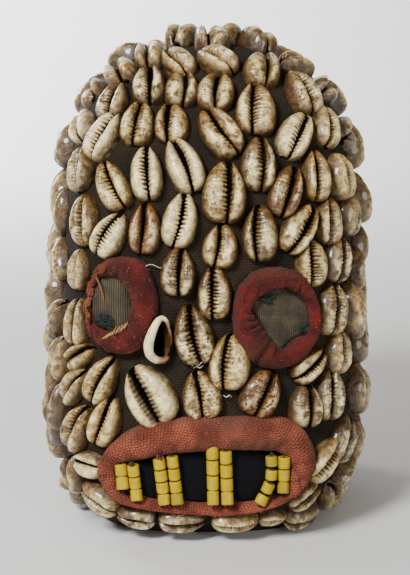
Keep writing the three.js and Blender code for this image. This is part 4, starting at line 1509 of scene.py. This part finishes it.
right_creases = [
    (0.0, 1.8, 0.014, 0.5), (0.1, 1.2, 0.012, 0.3), (0.22, 1.0, 0.012, 0.2), (0.33, 0.9, 0.012, 0.25),
    (0.44, 1.2, 0.014, 0.3), (0.56, 1.2, 0.012, 0.2), (0.65, 1.6, 0.014, 0.3), (0.7, 2.2, 0.014, 0.9),
    (0.78, 1.4, 0.012, 0.2), (0.82, 1.4, 0.009, 0.3), (0.86, 1.3, 0.009, 0.35), (0.9, 1.4, 0.009, 0.3),
    (0.95, 1.4, 0.01, 0.3),
]
left_outline = (-35.7, -7.4, 16.8, 21.6)
right_outline = (29.8, -12.7, 19.6, 22.5)
left_tints = {
    "faded": [(-37, 14, 11, 5)],
    "orange_worn": [(-50, 1, 6, 13), (-44, 9, 4, 4)],
    "bright": [],
}
right_tints = {
    "faded": [(26, 8, 13, 5), (18, -28, 8, 6)],
    "orange_worn": [],
    "bright": [(47.6, -13, 2.6, 3.4)],
}
left_thin = [(-49, -2, 7, 14, 0.45)]


def eye_ring(side, opening, outline, thin_at, creases, tints):
    name = f"eye_ring_{side}"
    ring, grid = ring_piece(
        f"{name}_cotton",
        opening,
        round_oval(outline, EYE_RING_SQUARENESS),
        EYE_RING_POINTS,
        EYE_RING_HEIGHT,
        thin_at,
        creases,
        EYE_RING_PUCKERS,
        red_cotton,
        tints,
    )
    dress(ring, "ring_cloth", name)
    return grid


left_grid = eye_ring("left", left_opening, left_outline, left_thin, left_creases, left_tints)
eye_ring("right", right_opening, right_outline, [], right_creases, right_tints)

# %% [markdown]
# The lips are one long ring of terracotta cotton with a coarse open weave, thick above and thin
# below. They could be two pads, but the real cloth runs round the mouth in one piece with folds at
# its corners. So they are made as the eye rings are, between two outlines.

# %% Lips
LIPS_POINTS = 320
LIPS_HEIGHT = 10.5
LIPS_PUCKERS = 30
lips_inner = [
    (-38.8, -78.4), (-37.4, -75.4), (-27.1, -73.4), (-14.4, -71.2), (4.6, -69.6), (26.0, -69.6),
    (35.4, -71.6), (36.6, -77.6), (33.4, -85.0), (23.8, -90.0), (8.3, -91.3), (-10.4, -90.8),
    (-25.0, -88.9), (-35.4, -84.2),
]
lips_outer = [
    (-46.4, -77.2), (-42.2, -66.4), (-30.6, -58.0), (-10.4, -54.0), (14.6, -53.4), (36.0, -54.2),
    (45.4, -62.2), (47.8, -74.6), (40.4, -85.2), (28.6, -92.6), (12.5, -97.0), (-10.4, -96.4),
    (-28.4, -93.4), (-40.4, -87.8),
]
lip_creases = [
    (0.03, 1.4, 0.01, 0.5), (0.2, 0.7, 0.012, 0.3), (0.3, 0.6, 0.01, 0.3), (0.42, 0.8, 0.012, 0.3),
    (0.49, 1.6, 0.012, 0.8), (0.53, 1.4, 0.01, 0.7), (0.58, 1.6, 0.01, 0.6), (0.72, 0.7, 0.012, 0.3),
    (0.86, 0.7, 0.012, 0.3), (0.96, 1.4, 0.01, 0.6),
]
lip_thin = [(-4, -94, 44, 6, 0.4), (-44, -84, 8, 8, 0.2)]
lips_tints = {
    "faded": [(9, -56, 10, 4), (-37, -60, 6, 5), (-42, -90, 7, 6), (22, -66, 14, 3)],
    "dirty": [(40, -89, 8, 6), (-30, -94, 16, 3), (45, -70, 3, 8), (-2, -63, 2.5, 5)],
    # Painted shade along a fold at the right end of the lips.
    "painted_fold_shade": [(39.0, -80, 0.6, 4.5), (40.6, -85, 1.2, 1.4), (38.2, -75, 0.5, 2)],
}
terracotta_cotton = ring_cloth(
    "terracotta_cotton",
    dark=light_of(100, 47, 31),
    light=light_of(150, 78, 56),
    thread_gap_shade=light_of(50, 18, 9),
    thread_mm=1.25,
    depth_mm=0.8,
    tints=[
        ("faded", light_of(96, 62, 44), 0.85),
        ("dirty", light_of(98, 46, 32), 0.8),
        # A dark tint that paints the shade of that fold.
        ("painted_fold_shade", light_of(40, 14, 8), 0.9),
    ],
)


def lips_outer_of(loop):
    return smooth_loop(lips_outer, len(loop))


lips, lips_grid = ring_piece(
    "lips_cotton",
    lips_inner,
    lips_outer_of,
    LIPS_POINTS,
    LIPS_HEIGHT,
    lip_thin,
    lip_creases,
    LIPS_PUCKERS,
    terracotta_cotton,
    lips_tints,
)
dress(lips, "lip_cloth", "lips")

# %% [markdown]
# Inside each ring a piece of cloth is stretched over the hollow. Each is one thin sheet, cut in
# rings round its middle. It stands highest in the middle, sinks towards the edge and runs on down
# under its ring. It could be simulated too, but a sheet that is held taut all round hardly moves.

# %% Stretched cloths
SINKS_TO_EDGE = 0.3
SINKS_UNDER_RING = 1.6
UNDER_RING_FROM = 0.95
WRINKLE = 0.12


def stretched_cloth(name, corners, height, reach, rings, around, finish_used, slot_name, node_name):
    outline = smooth_loop(corners, around)
    centre = outline.mean(axis=0)
    shares = np.linspace(0, reach, rings + 1)[1:]
    flat = np.vstack([centre] + [centre + (outline - centre) * share for share in shares])
    spread = np.concatenate([[0], np.repeat(shares, around)])
    lifts = height * (1 - SINKS_TO_EDGE * np.clip(spread, 0, 1) ** 2)
    lifts = lifts - SINKS_UNDER_RING * smooth(spread, UNDER_RING_FROM, reach)
    lifts = lifts + WRINKLE * np.sin(flat[:, 0] * 1.3) * np.sin(flat[:, 1] * 0.9 + 1)
    points = lifted_at(flat, lifts)
    faces = grid_faces(rings, around, round_columns=True, first=1).tolist()
    faces += [[0, 1 + (step + 1) % around, 1 + step] for step in range(around)]
    made = mesh_object(name, points, faces, None, flat, finish_used)
    size = (flat.max(axis=0) - flat.min(axis=0)) * MM
    shown = points.max(axis=0) - points.min(axis=0)
    size = np.maximum(size, [shown[0] * MM, math.hypot(shown[1], shown[2]) * MM])
    dress(made, slot_name, node_name)
    print(name, "is cut to", (size / MM).round(1), "mm")


# %% [markdown]
# The cloth in the eyes is grey-brown knitting, with upright ribs on the left and small loops on the
# right. Knitting shows as two waves, one across for the ribs and one upwards for the rows of loops,
# and their shares say which of the two is seen more. The hollows between them are painted darker, as
# shade. Worn wool has a haze of pale fluff.

# %% Knitted eye cloths
LOOP_WAVES = 7.5
KNIT_DARK = light_of(50, 44, 28)
KNIT_LIGHT = light_of(78, 68, 44)
KNIT_GAP_SHADE = light_of(18, 16, 10)
KNIT_FLUFF = light_of(136, 122, 96)


def knit_finish(name, rib_waves, loops_share):
    material, tree, shader = finish(name)
    parts = node(tree, "ShaderNodeSeparateXYZ")
    join(tree, flat_place(tree), parts.inputs[0])
    bend = maths(tree, "MULTIPLY", mottle(tree, 6, 2, 14.0), 3.0)
    upright = maths(tree, "MULTIPLY", parts.outputs[0], rib_waves)
    ribs = maths(tree, "SINE", maths(tree, "ADD", upright, bend))
    loops = maths(tree, "SINE", maths(tree, "MULTIPLY", parts.outputs[1], LOOP_WAVES))
    rib_part = maths(tree, "MULTIPLY", ribs, 0.5 - loops_share)
    knit = maths(tree, "ADD", rib_part, maths(tree, "MULTIPLY", loops, loops_share))
    knit = maths(tree, "ADD", knit, 0.5)
    patches = stretch(tree, mottle(tree, 6, 3, 15.0), 0.35, 0.65)
    colour = blend(tree, patches, KNIT_DARK, KNIT_LIGHT)
    # Painted shade in the hollows of the knit.
    colour = blend(tree, stretch(tree, knit, 0.3, 0.8, 0.75, 0.0), colour, KNIT_GAP_SHADE)
    fluff = stretch(tree, mottle(tree, 0.6, 2, 16.0), 0.6, 0.75, 0.0, 0.35)
    colour = blend(tree, fluff, colour, KNIT_FLUFF)
    join(tree, colour, shader["Base Color"])
    shader["Roughness"].default_value = 0.95
    join(tree, raised(tree, knit, 0.3), shader["Normal"])
    return material


ribbed_knit = knit_finish("ribbed_knit", rib_waves=6.2, loops_share=0.06)
looped_knit = knit_finish("looped_knit", rib_waves=7.2, loops_share=0.25)
stretched_cloth("left_eye_knit", left_opening, 3, 1.25, 18, 90, ribbed_knit, "eye_cloth", "eye_cloth_left")
stretched_cloth("right_eye_knit", right_opening, 3, 1.2, 20, 100, looped_knit, "eye_cloth", "eye_cloth_right")

# %% [markdown]
# The cloth in the mouth is black and close woven, so that the teeth stand out against it. Real black
# cloth is never quite black: its threads catch a little light, and it is covered in pale lint.

# %% Black cloth in the mouth
CLOTH_BLACK = light_of(4, 4, 6)
THREAD_BLACK = light_of(15, 15, 20)
LINT_GREY = light_of(36, 33, 38)
black_cloth, tree, shader = finish("black_cloth")
threads = weave(tree, 0.6, flat_place(tree))
colour = blend(tree, stretch(tree, threads, 0.1, 0.8), CLOTH_BLACK, THREAD_BLACK)
lint = stretch(tree, mottle(tree, 0.7, 3, 17.0), 0.6, 0.72, 0.0, 0.3)
colour = blend(tree, lint, colour, LINT_GREY)
join(tree, colour, shader["Base Color"])
shader["Roughness"].default_value = 0.97
shader["Specular IOR Level"].default_value = 0.15
join(tree, raised(tree, threads, 0.3), shader["Normal"])
stretched_cloth(
    "mouth_black_cloth", lips_inner, 1.6, 1.12, 16, 140, black_cloth, "mouth_cloth", "mouth_cloth"
)

# %% [markdown]
# The teeth are short lengths of yellow glass cane. The glass is opaque and cloudy, with small brown
# pits, and its cut ends are worn dull and brown; that brown is also painted shade where the beads
# meet. A see-through glass would let the black cloth through, which the real beads don't, so this is
# a glossy surface with a thin coat.

# %% Yellow glass
GLASS_OLIVE = light_of(140, 112, 0)
PIT_BROWN = light_of(104, 72, 10)
END_WEAR_AND_SHADE_BROWN = light_of(120, 84, 8)
bead_glass, tree, shader = finish("yellow_glass")
tone = painted(tree, "bead_tone", "Color")
cloudy = stretch(tree, mottle(tree, 2.2, 3, 18.0), 0.35, 0.7)
colour = blend(tree, maths(tree, "MULTIPLY", cloudy, 0.5), tone, GLASS_OLIVE)
pits = stretch(tree, mottle(tree, 0.8, 2, 19.0), 0.64, 0.72, 0.0, 0.5)
colour = blend(tree, pits, colour, PIT_BROWN)
# The bead ends are painted brown, as wear and as shade where the beads meet.
colour = blend(tree, painted(tree, "bead_end_wear_and_shade"), colour, END_WEAR_AND_SHADE_BROWN)
join(tree, colour, shader["Base Color"])
join(tree, stretch(tree, cloudy, 0, 1, 0.2, 0.42), shader["Roughness"])
shader["Specular IOR Level"].default_value = 0.2
shader["Coat Weight"].default_value = 0.1
shader["Coat Roughness"].default_value = 0.12
join(tree, raised(tree, mottle(tree, 1.6, 2, 20.0), 0.3, 0.5), shader["Normal"])

# %% [markdown]
# A bead is drilled, so a plain cylinder won't do. It is a profile turned round the string's line: up
# the hole, over a rounded end, down the side and back. The solid model gives each bead's line,
# because its points are spread furthest along it, and so the bead stays where its node is.

# %% Shape of a bead
BEAD_SIDES = 36
HOLE_MM = 0.75
HOLE_FLARE = 0.3
SOFTEST_END = 0.45
END_VARIES = 0.35
SIDE_WAVE = 0.03


def bead_line(name):
    points = np.array([corner.co for corner in frame["nodes"][name].data.vertices]) / MM
    centre = points.mean(axis=0)
    _, _, axes = np.linalg.svd(points - centre)
    line = axes[0] * (1 if axes[0][2] > 0 else -1)
    along = (points - centre) @ line
    radius = np.linalg.norm(points - centre - np.outer(along, line), axis=1).max()
    return centre, line, along.max() - along.min(), radius


def bead_profile(length, radius, seed):
    half = length / 2
    soft = SOFTEST_END + END_VARIES * uneven(seed)
    turn = np.linspace(0, np.pi / 2, 5)
    top = [(radius - soft + soft * math.sin(a), half - soft + soft * math.cos(a)) for a in turn]
    hole = [(HOLE_MM, 0), (HOLE_MM, half * 0.6), (HOLE_MM * 1.1, half - 0.25), (HOLE_MM + HOLE_FLARE, half)]
    side_heights = np.linspace(half - soft, soft - half, 7)[1:-1]
    side = [(radius + SIDE_WAVE * math.sin(4 * seed + 3 * h), h) for h in side_heights]
    bottom = [(r, -h) for r, h in top[::-1]]
    return np.array(hole + top + side + bottom + [(r, -h) for r, h in hole[::-1]][:-1])


print("a bead's profile has", len(bead_profile(5, 2.4, 1)), "points")

# %% [markdown]
# The beads hang in eight strings. Each is a little fuller than its solid, none is quite round, and
# three are faded. The last bead of a string leans, with its lower end out to the front, because the
# lower lip is in its way.

# %% Glass beads
BEAD_FULLNESS = 1.07
BEAD_GAP = 0.12
OUT_OF_ROUND = 0.035
LAST_BEAD_LEAN = 0.3
LAST_BEAD_OUT = 0.5
FIRST_BEAD_SEED = 900
END_WEAR_AND_SHADE = 0.6
bead_yellow = light_of(176, 150, 0)
bead_faded = light_of(140, 126, 26)
FADED_BEADS = {"bead_string_7_bead_1", "bead_string_8_bead_3", "bead_string_4_bead_4"}
bead_names = sorted(node_name for node_name in frame["nodes"] if node_name.startswith("bead_string"))
last_of_string = {name.split("_bead_")[0]: name for name in bead_names}
strings = {}
for number, name in enumerate(bead_names):
    string_name = name.split("_bead_")[0]
    centre, line, length, radius = bead_line(name)
    if name == last_of_string[string_name]:
        line = unit(line + np.array([0, LAST_BEAD_LEAN, 0]))
        centre = centre - np.array([0, LAST_BEAD_OUT, 0])
    seed = FIRST_BEAD_SEED + number
    profile = bead_profile(length - BEAD_GAP, radius * BEAD_FULLNESS, seed)
    side_way = unit(np.cross(line, [0, 1, 0]))
    other_way = np.cross(line, side_way)
    turn = np.arange(BEAD_SIDES) / BEAD_SIDES * 2 * np.pi
    flat = 1 + OUT_OF_ROUND * np.sin(2 * turn + seed)
    round_way = np.outer(np.cos(turn) * flat, side_way) + np.outer(np.sin(turn) * flat, other_way)
    points = centre + profile[:, None, 1:2] * line + profile[:, None, 0:1] * round_way[None]
    faces = grid_faces(len(profile), BEAD_SIDES, round_rows=True, round_columns=True)
    # Where a bead meets the next, its end is painted darker: wear and painted shade.
    edge = bell(np.abs(profile[:, 1]), length / 2, 0.3) * bell(profile[:, 0], radius * 0.6, radius * 0.5)
    tone = np.array(bead_faded if name in FADED_BEADS else bead_yellow)
    tone[:3] *= 0.9 + 0.14 * uneven(seed + 0.5)
    values = {"bead_tone": np.tile(tone, (points.shape[0] * BEAD_SIDES, 1))}
    values["bead_end_wear_and_shade"] = np.repeat(edge * END_WEAR_AND_SHADE, BEAD_SIDES)
    bead = mesh_object(f"{name}_glass", points.reshape(-1, 3), faces.tolist(), values, material=bead_glass)
    turn_outwards(bead)
    dress(bead, "bead_glass", name)
    strings.setdefault(string_name, []).append((centre, line, length))
print("glass beads:", len(bead_names), "in", len(strings), "strings")

# %% [markdown]
# Threads hold all this together and show in a few places: dark thread through the beads with knots
# above, dark green tufts in the eyes, a beige darn at the left eye, pale threads that have come
# loose. Blender could give a curve a round bevel, but a tube in mesh code can taper to its ends and
# be joined with others in one piece. Each thread follows a curve through a few points.

# %% A thread is a thin tube
TAPERED_END = 0.35


def curve_through(corners, steps):
    corners = np.asarray(corners, float)
    padded_corners = np.vstack([2 * corners[0] - corners[1], corners, 2 * corners[-1] - corners[-2]])
    made = []
    for first in range(len(corners) - 1):
        a, b, c, d = padded_corners[first : first + 4]
        t = np.linspace(0, 1, steps, endpoint=False)[:, None]
        made.append(through_corners(a, b, c, d, t))
    return np.vstack(made + [corners[-1:]])


def tube(path, radius, sides=8):
    path = np.asarray(path, float)
    radii = np.broadcast_to(radius, len(path))
    ahead = unit(np.gradient(path, axis=0))
    side = np.cross(ahead[0], [0.31, 0.87, 0.38])
    rings = []
    for number, (point, way) in enumerate(zip(path, ahead)):
        side = unit(side - way * (side @ way))
        other = np.cross(way, side)
        turn = np.arange(sides) / sides * 2 * np.pi
        end = TAPERED_END if number in (0, len(path) - 1) else 1
        ring = np.outer(np.cos(turn), side) + np.outer(np.sin(turn), other)
        rings.append(point + ring * radii[number] * end)
    return np.vstack(rings), len(path)


def threads_piece(name, slot_name, paths, radius, material, sides=8):
    points, faces, first = [], [], 0
    for number, path in enumerate(paths):
        size = radius * (0.8 + 0.4 * uneven(number + 0.2))
        made, rings = tube(path, size, sides)
        faces += grid_faces(rings, sides, round_columns=True, first=first).tolist()
        faces.append(list(range(first + sides - 1, first - 1, -1)))
        faces.append(list(range(first + (rings - 1) * sides, first + rings * sides)))
        points.append(made)
        first += len(made)
    piece = mesh_object(name, np.vstack(points), faces, material=material)
    turn_outwards(piece)
    dress(piece, slot_name)
    lengths = [np.linalg.norm(np.diff(path, axis=0), axis=1).sum() for path in paths]
    print(f"{name}: {len(paths)} of {min(lengths):.1f} to {max(lengths):.1f} mm, {sum(lengths):.0f} in all")


print("a curve through 3 corners in steps of 6 has", len(curve_through(np.eye(3), 6)), "points")

# %% [markdown]
# Thread is twisted from fibres, so from near it is mottled along its length and a little rough. One
# recipe with two colours, dark and light, serves every thread of the mask.

# %% Thread finishes
def thread_finish(name, dark, light):
    material, tree, shader = finish(name)
    spots = stretch(tree, mottle(tree, 0.6, 3, 21.0), 0.35, 0.65)
    join(tree, blend(tree, spots, dark, light), shader["Base Color"])
    shader["Roughness"].default_value = 0.9
    join(tree, raised(tree, mottle(tree, 0.25, 2, 22.0), 0.15), shader["Normal"])
    return material


dark_thread = thread_finish("dark_thread", light_of(18, 16, 16), light_of(48, 40, 36))
green_wool = thread_finish("green_wool", light_of(6, 16, 14), light_of(22, 40, 34))
beige_thread = thread_finish("beige_thread", light_of(110, 78, 40), light_of(184, 144, 88))
pale_thread = thread_finish("pale_thread", light_of(150, 142, 124), light_of(206, 198, 180))
orange_cotton = thread_finish("orange_cotton", light_of(84, 36, 20), light_of(140, 84, 50))
magenta_thread = thread_finish("magenta_thread", light_of(96, 14, 40), light_of(140, 30, 60))

# %% [markdown]
# A dark thread runs down through the holes of each string's beads, and goes back into the mouth
# above and below them. It shows only between the beads and at its two ends.

# %% Threads through the beads
UPPER_END = np.array([0, 1.6, 1.6])
LOWER_END = np.array([0, 1.8, -1.2])
bead_threads = []
for beads_of in strings.values():
    beads_of.sort(key=lambda bead: -bead[0][2])
    ends = [centre + line * length * 0.5 for centre, line, length in beads_of[:1]]
    stops = ends + [centre for centre, _, _ in beads_of]
    last_centre, last_line, last_length = beads_of[-1]
    stops.append(last_centre - last_line * last_length * 0.5)
    bead_threads.append(curve_through([stops[0] + UPPER_END] + stops + [stops[-1] + LOWER_END], 6))
threads_piece("bead_threads", "mouth_cloth", bead_threads, 0.42, dark_thread)

# %% [markdown]
# Above three of the strings the thread ends in a small tangled knot. A real knot is hard to follow,
# and at this size it needn't be: a few open loops, each leaning its own way about one point, look
# like one.

# %% Knots
FULL_TURN = 6.28
LOOP_OPEN_TURN = 4.4


def knot_paths(place_across, place_up, height, size, seed, turns=5):
    centre = lifted_at([(place_across, place_up)], [height])[0]
    paths = []
    for turn in range(turns):
        start = FULL_TURN * uneven(seed + 0.31 * turn)
        lean = FULL_TURN * uneven(seed + 0.17 * turn + 0.5)
        t = np.linspace(0, LOOP_OPEN_TURN, 14) + start
        loop = np.stack([np.cos(t), np.sin(t) * math.cos(lean), np.sin(t) * math.sin(lean)])
        paths.append(centre + loop.T * size * (0.7 + 0.4 * uneven(seed + turn)))
    return paths


knots = knot_paths(-30.4, -73.2, 7.2, 0.9, 1.0) + knot_paths(-19.0, -69.8, 7.0, 0.5, 2.0, 3)
knots += knot_paths(27.6, -69.0, 6.8, 0.5, 3.0, 3)
threads_piece("bead_knots", "mouth_cloth", knots, 0.3, dark_thread)

# %% [markdown]
# Tufts of dark green wool stand in the eyes, one in the left and two in the right. Hair in Blender
# would do for them, but these are few, and as tubes they go with the rest into any file. Each fibre
# starts near the foot of its tuft, bows away from the cloth and curls a little to one side.

# %% Tufts in the eyes
def tuft_paths(place_across, place_up, height, reach, fibres, seed):
    foot, out = seen_at([(place_across, place_up)], PAD_SEEN)
    made = frames_at(foot, out, np.array([[0.0, 0, 1]]))
    paths = []
    for fibre in range(fibres):
        turn = FULL_TURN * uneven(seed + 0.37 * fibre)
        far = reach * (0.35 + 0.75 * uneven(seed + 0.71 * fibre))
        root = made["foot"][0] + made["out"][0] * height
        way = math.cos(turn) * made["across"][0] + math.sin(turn) * made["along"][0] * 0.7
        root = root + way * reach * 0.35 * uneven(seed + 0.13 * fibre)
        bow = made["out"][0] * far * (0.25 + 0.3 * uneven(seed + 0.53 * fibre))
        curl = np.cross(way, made["out"][0]) * far * 0.4 * (uneven(seed + 0.9 * fibre) - 0.5)
        middle = root + way * far * 0.5 + bow
        paths.append(curve_through([root, middle, root + way * far + curl + bow * 0.2], 6))
    return paths


tufts = tuft_paths(-43.4, -14.2, 3.0, 4.2, 70, 31.0)
tufts += tuft_paths(42.6, -16.8, 3.4, 3.4, 46, 32.0) + tuft_paths(26.2, -4.4, 3.0, 3.4, 34, 33.0)
threads_piece("eye_tufts", "eye_cloth", tufts, 0.24, green_wool, 6)

# %% [markdown]
# The left eye was mended with a row of beige stitches at the lower edge of its opening. They are
# short curves side by side, each a little uneven and highest in its middle.

# %% Darn of the left eye
DARN_STITCHES = 11
darn = []
for stitch in range(DARN_STITCHES):
    step = stitch / (DARN_STITCHES - 1)
    across = -42.0 + 9.4 * step + 0.5 * (uneven(stitch + 0.2) - 0.5)
    up = -21.0 + 5.2 * step + 0.6 * (uneven(stitch + 0.7) - 0.5)
    lean = 2.2 * (uneven(stitch + 0.4) - 0.5)
    reach = 1.5 + 0.8 * uneven(stitch + 0.1)
    lower, upper = (across - 0.9 * reach + lean, up - reach), (across + 0.7 * reach - lean, up + reach)
    darn.append(curve_through(lifted_at([lower, (across, up), upper], [5.4, 6.6, 4.4]), 5))
threads_piece("left_eye_darn", "eye_cloth", darn, 0.24, beige_thread)

# %% [markdown]
# At its outer side the left ring is worn through: its lining shows as thin orange-brown strands
# that run along the ring. They could be drawn in its finish, but they stand up and cast shadows. So
# they are laid over the padded surface itself, a little above it, drifting from side to side. One
# more strand hangs down into the opening.

# %% Worn strands
WORN_STRANDS = 26


def over_ring(grid, rows, sections, lift):
    around = len(grid)
    low_row, low_section = np.floor(rows).astype(int), np.floor(sections).astype(int)
    part_row, part_section = (rows - low_row)[:, None], (sections - low_section)[:, None]
    a, b = grid[low_row % around, low_section], grid[(low_row + 1) % around, low_section]
    c, d = grid[low_row % around, low_section + 1], grid[(low_row + 1) % around, low_section + 1]
    near = (a + (b - a) * part_row) * (1 - part_section) + (c + (d - c) * part_row) * part_section
    out = unit(np.cross(b - a, c - a))
    out *= np.sign((out * unit(slope(near, 0))).sum(axis=1, keepdims=True))
    return near + out * np.reshape(lift, (-1, 1))


def strand(grid, first, last, section, lift, seed, count=26):
    part = np.linspace(0, 1, count)
    rows = (first + (last - first) * part) * len(grid)
    drift = 1.6 * np.sin(5 * part + seed) + 0.6 * np.sin(13 * part + 2 * seed)
    sections = np.clip(section + drift, 1, grid.shape[1] - 3)
    lifts = lift * (0.6 + 0.8 * np.abs(np.sin(7 * part + seed))) * smooth(part, 0, 0.1)
    return over_ring(grid, rows, sections, lifts)


strands = []
for number in range(WORN_STRANDS):
    start = 0.66 + 0.14 * uneven(number + 0.4)
    stop = start + 0.06 + 0.13 * uneven(number + 0.9)
    section = 7 + 20 * uneven(number + 0.6)
    strands.append(strand(left_grid, start, stop, section, 0.25, number * 1.3))
threads_piece("left_eye_worn_strands", "ring_cloth", strands, 0.2, orange_cotton, 6)

hanging_corners = [(-45.4, 4.8), (-44.4, 1.6), (-43.6, -2.4), (-43.2, -5.6)]
hanging = curve_through(lifted_at(hanging_corners, [6, 5, 4, 3.4]), 8)
threads_piece("left_eye_hanging_strand", "ring_cloth", [hanging], 0.34, orange_cotton)

# %% [markdown]
# Old cotton is covered in short loose fibres. They are the same strands, shorter and thinner, here
# and there on the left ring and on the lips. Three small magenta stitches show on the upper lip.

# %% Fluff and stitches
EYE_FLUFF_FIBRES = 24
LIP_FLUFF_FIBRES = 26
fluff = []
for number in range(EYE_FLUFF_FIBRES):
    around = uneven(number + 0.15)
    section = 8 + 18 * uneven(number + 0.35)
    reach = 0.012 + 0.012 * uneven(number + 0.55)
    fluff.append(strand(left_grid, around, around + reach, section, 0.5, number, 8))
threads_piece("eye_ring_fluff", "ring_cloth", fluff, 0.1, orange_cotton, 4)

lip_fluff = []
for number in range(LIP_FLUFF_FIBRES):
    around = uneven(number + 0.25)
    section = 9 + 16 * uneven(number + 0.45)
    reach = 0.006 + 0.008 * uneven(number + 0.65)
    lip_fluff.append(strand(lips_grid, around, around + reach, section, 0.5, number, 8))
pale_lip_cotton = thread_finish("pale_lip_cotton", light_of(116, 50, 34), light_of(160, 84, 62))
threads_piece("lip_fluff", "lip_cloth", lip_fluff, 0.1, pale_lip_cotton, 4)

stitches = []
for across, up in ((-19.6, -70.2), (-18.4, -71.0), (-17.2, -70.4)):
    corners = [(across - 0.5, up + 0.8), (across, up), (across + 0.4, up - 0.9)]
    stitches.append(curve_through(lifted_at(corners, [7.4, 7.9, 6.6]), 5))
threads_piece("lip_stitches", "lip_cloth", stitches, 0.28, magenta_thread)

# %% [markdown]
# One shell beside the nose is broken: its front is gone, and what is left is an arch round a dark
# hollow, thick and white on the left, thin and brown on the right. A whole shell could be cut, but a
# cut gives a clean edge. So the arch is a tube swept along the broken edge, with a radius of its own
# at each corner, and a small bowl closes the hollow behind.

# %% Form of the broken shell
ARCH_STEPS = 6
ARCH_SIDES = 16
BOWL_SIDES = 28
BOWL_RINGS = (0.25, 0.5, 0.75, 1.0)
BOWL_FLOOR = 0.9
broken_frame = seen_frames([broken_row])
broken_axes = np.stack([broken_frame[key][0] for key in ("across", "along", "out")])
arch_corners = np.array([
    (3.8, -7.6, 2.6), (1.4, -9.2, 3.2), (-1.8, -8.8, 4.6), (-4.2, -6.0, 6.2), (-4.4, -1.8, 7.2),
    (-3.0, 3.0, 7.6), (-1.0, 7.2, 7.0), (0.8, 8.9, 6.0), (2.8, 7.8, 5.0), (3.8, 5.0, 4.4),
    (4.4, 2.2, 3.8), (4.8, -0.8, 3.2), (4.4, -3.2, 2.2),
])
arch_radii = [0.8, 1.5, 1.7, 2.0, 2.2, 1.9, 1.5, 1.2, 0.9, 0.7, 0.6, 0.5, 0.35]
arch = curve_through(arch_corners, ARCH_STEPS)
whole = np.arange(len(arch_radii)) * ARCH_STEPS
arch_radius = np.interp(np.arange(len(arch)), whole, arch_radii)
arch_points, arch_rows = tube(arch, arch_radius, ARCH_SIDES)
bowl_turn = np.arange(BOWL_SIDES) / BOWL_SIDES * 2 * np.pi
bowl_rim = np.stack([0.3 + 4.5 * np.sin(bowl_turn), -0.4 + 8.6 * np.cos(bowl_turn)])
towards_right = np.clip(np.sin(bowl_turn), 0, 1)
bowl_points = [[(0, 0, BOWL_FLOOR)]]
for share in BOWL_RINGS:
    heights = BOWL_FLOOR + 1.6 * share**3 + 2.2 * towards_right * share**2
    bowl_points.append(np.stack([bowl_rim[0] * share, bowl_rim[1] * share, heights], axis=1))
bowl_points = np.vstack(bowl_points)
local = np.vstack([arch_points, bowl_points])
broken_points = broken_frame["foot"][0] + local @ broken_axes
print("broken shell:", len(arch_points), "points of the arch and", len(bowl_points), "of the hollow")

# %% [markdown]
# The faces of both forms go in one mesh. The same values are painted on it as on the whole shells,
# so that it takes the same finish: white where the wall is thick, brown where it is thin, and
# painted shade, dark, down in the hollow.

# %% Broken shell
BROKEN_WHITE = np.array(light_of(236, 224, 194))
BROKEN_BROWN = np.array(light_of(120, 82, 44))
broken_faces = grid_faces(arch_rows, ARCH_SIDES, round_columns=True).tolist()
broken_faces.append(list(range(ARCH_SIDES - 1, -1, -1)))
broken_faces.append(list(range((arch_rows - 1) * ARCH_SIDES, arch_rows * ARCH_SIDES)))
floor_point = len(arch_points)
first_ring = floor_point + 1
broken_faces += grid_faces(len(BOWL_RINGS), BOWL_SIDES, round_columns=True, first=first_ring).tolist()
for step in range(BOWL_SIDES):
    broken_faces.append([floor_point, first_ring + step, first_ring + (step + 1) % BOWL_SIDES])
along_arch = np.repeat(np.arange(arch_rows) / arch_rows, ARCH_SIDES)
whiteness = smooth(along_arch, 0.1, 0.24) * (1 - smooth(along_arch, 0.58, 0.72))
arch_tone = BROKEN_BROWN + (BROKEN_WHITE - BROKEN_BROWN) * whiteness[:, None]
tones = np.vstack([arch_tone, np.tile(BROKEN_BROWN, (len(bowl_points), 1))])
in_bowl = np.concatenate([np.zeros(len(arch_points)), np.ones(len(bowl_points))])
# Painted shade down in the hollow, darkest at its left and middle.
hollow_shade = in_bowl * (1 - smooth(local[:, 0], 1.0, 3.2))
values = {
    "shell_tone": tones,
    "stain": 0.25 + 0.5 * in_bowl,
    "speckle": 0.2 + 0 * in_bowl,
    "between_teeth": np.maximum(hollow_shade, 0.3 * in_bowl),
    "polish_and_highlight": np.concatenate([whiteness, np.zeros(len(bowl_points))]),
    "low_side": 0.3 * in_bowl,
}
piece = mesh_object("broken_cowrie_shell", broken_points, broken_faces, values, material=shell_enamel)
turn_outwards(piece)
dress(piece, "shell", "broken_cowrie")
print("broken shell:", len(broken_faces), "faces")

# %% [markdown]
# A few pale threads have come loose and lie between the shells round the nose. Each is a line of
# places on the face, with a height over the cloth for each: low at its ends and bowed up between.

# %% Loose threads
loose_ends = [
    ([(-5.6, -33.4), (-4.4, -32.2), (-2.8, -32.8), (-1.4, -31.6), (0.2, -32.2)], [1, 2.6, 3.0, 2.6, 1]),
    ([(-4.8, -34.2), (-3.6, -33.4), (-2.0, -33.8), (-0.6, -32.8)], [1, 2.2, 2.6, 1]),
    ([(7.6, -45.4), (9.0, -46.2), (10.2, -45.4), (11.2, -46.4)], [1, 2.0, 2.2, 1]),
    ([(-26.6, 8.4), (-22.8, 9.6), (-19.2, 8.2), (-17.4, 8.8)], [0.8, 2.6, 2.2, 0.6]),
    ([(22.6, -41.2), (23.8, -44.6), (22.4, -47.8)], [0.8, 1.8, 0.8]),
]
loose_threads = [curve_through(lifted_at(corners, heights), 10) for corners, heights in loose_ends]
threads_piece("loose_threads", "body_cloth", loose_threads, 0.2, pale_thread, 6)
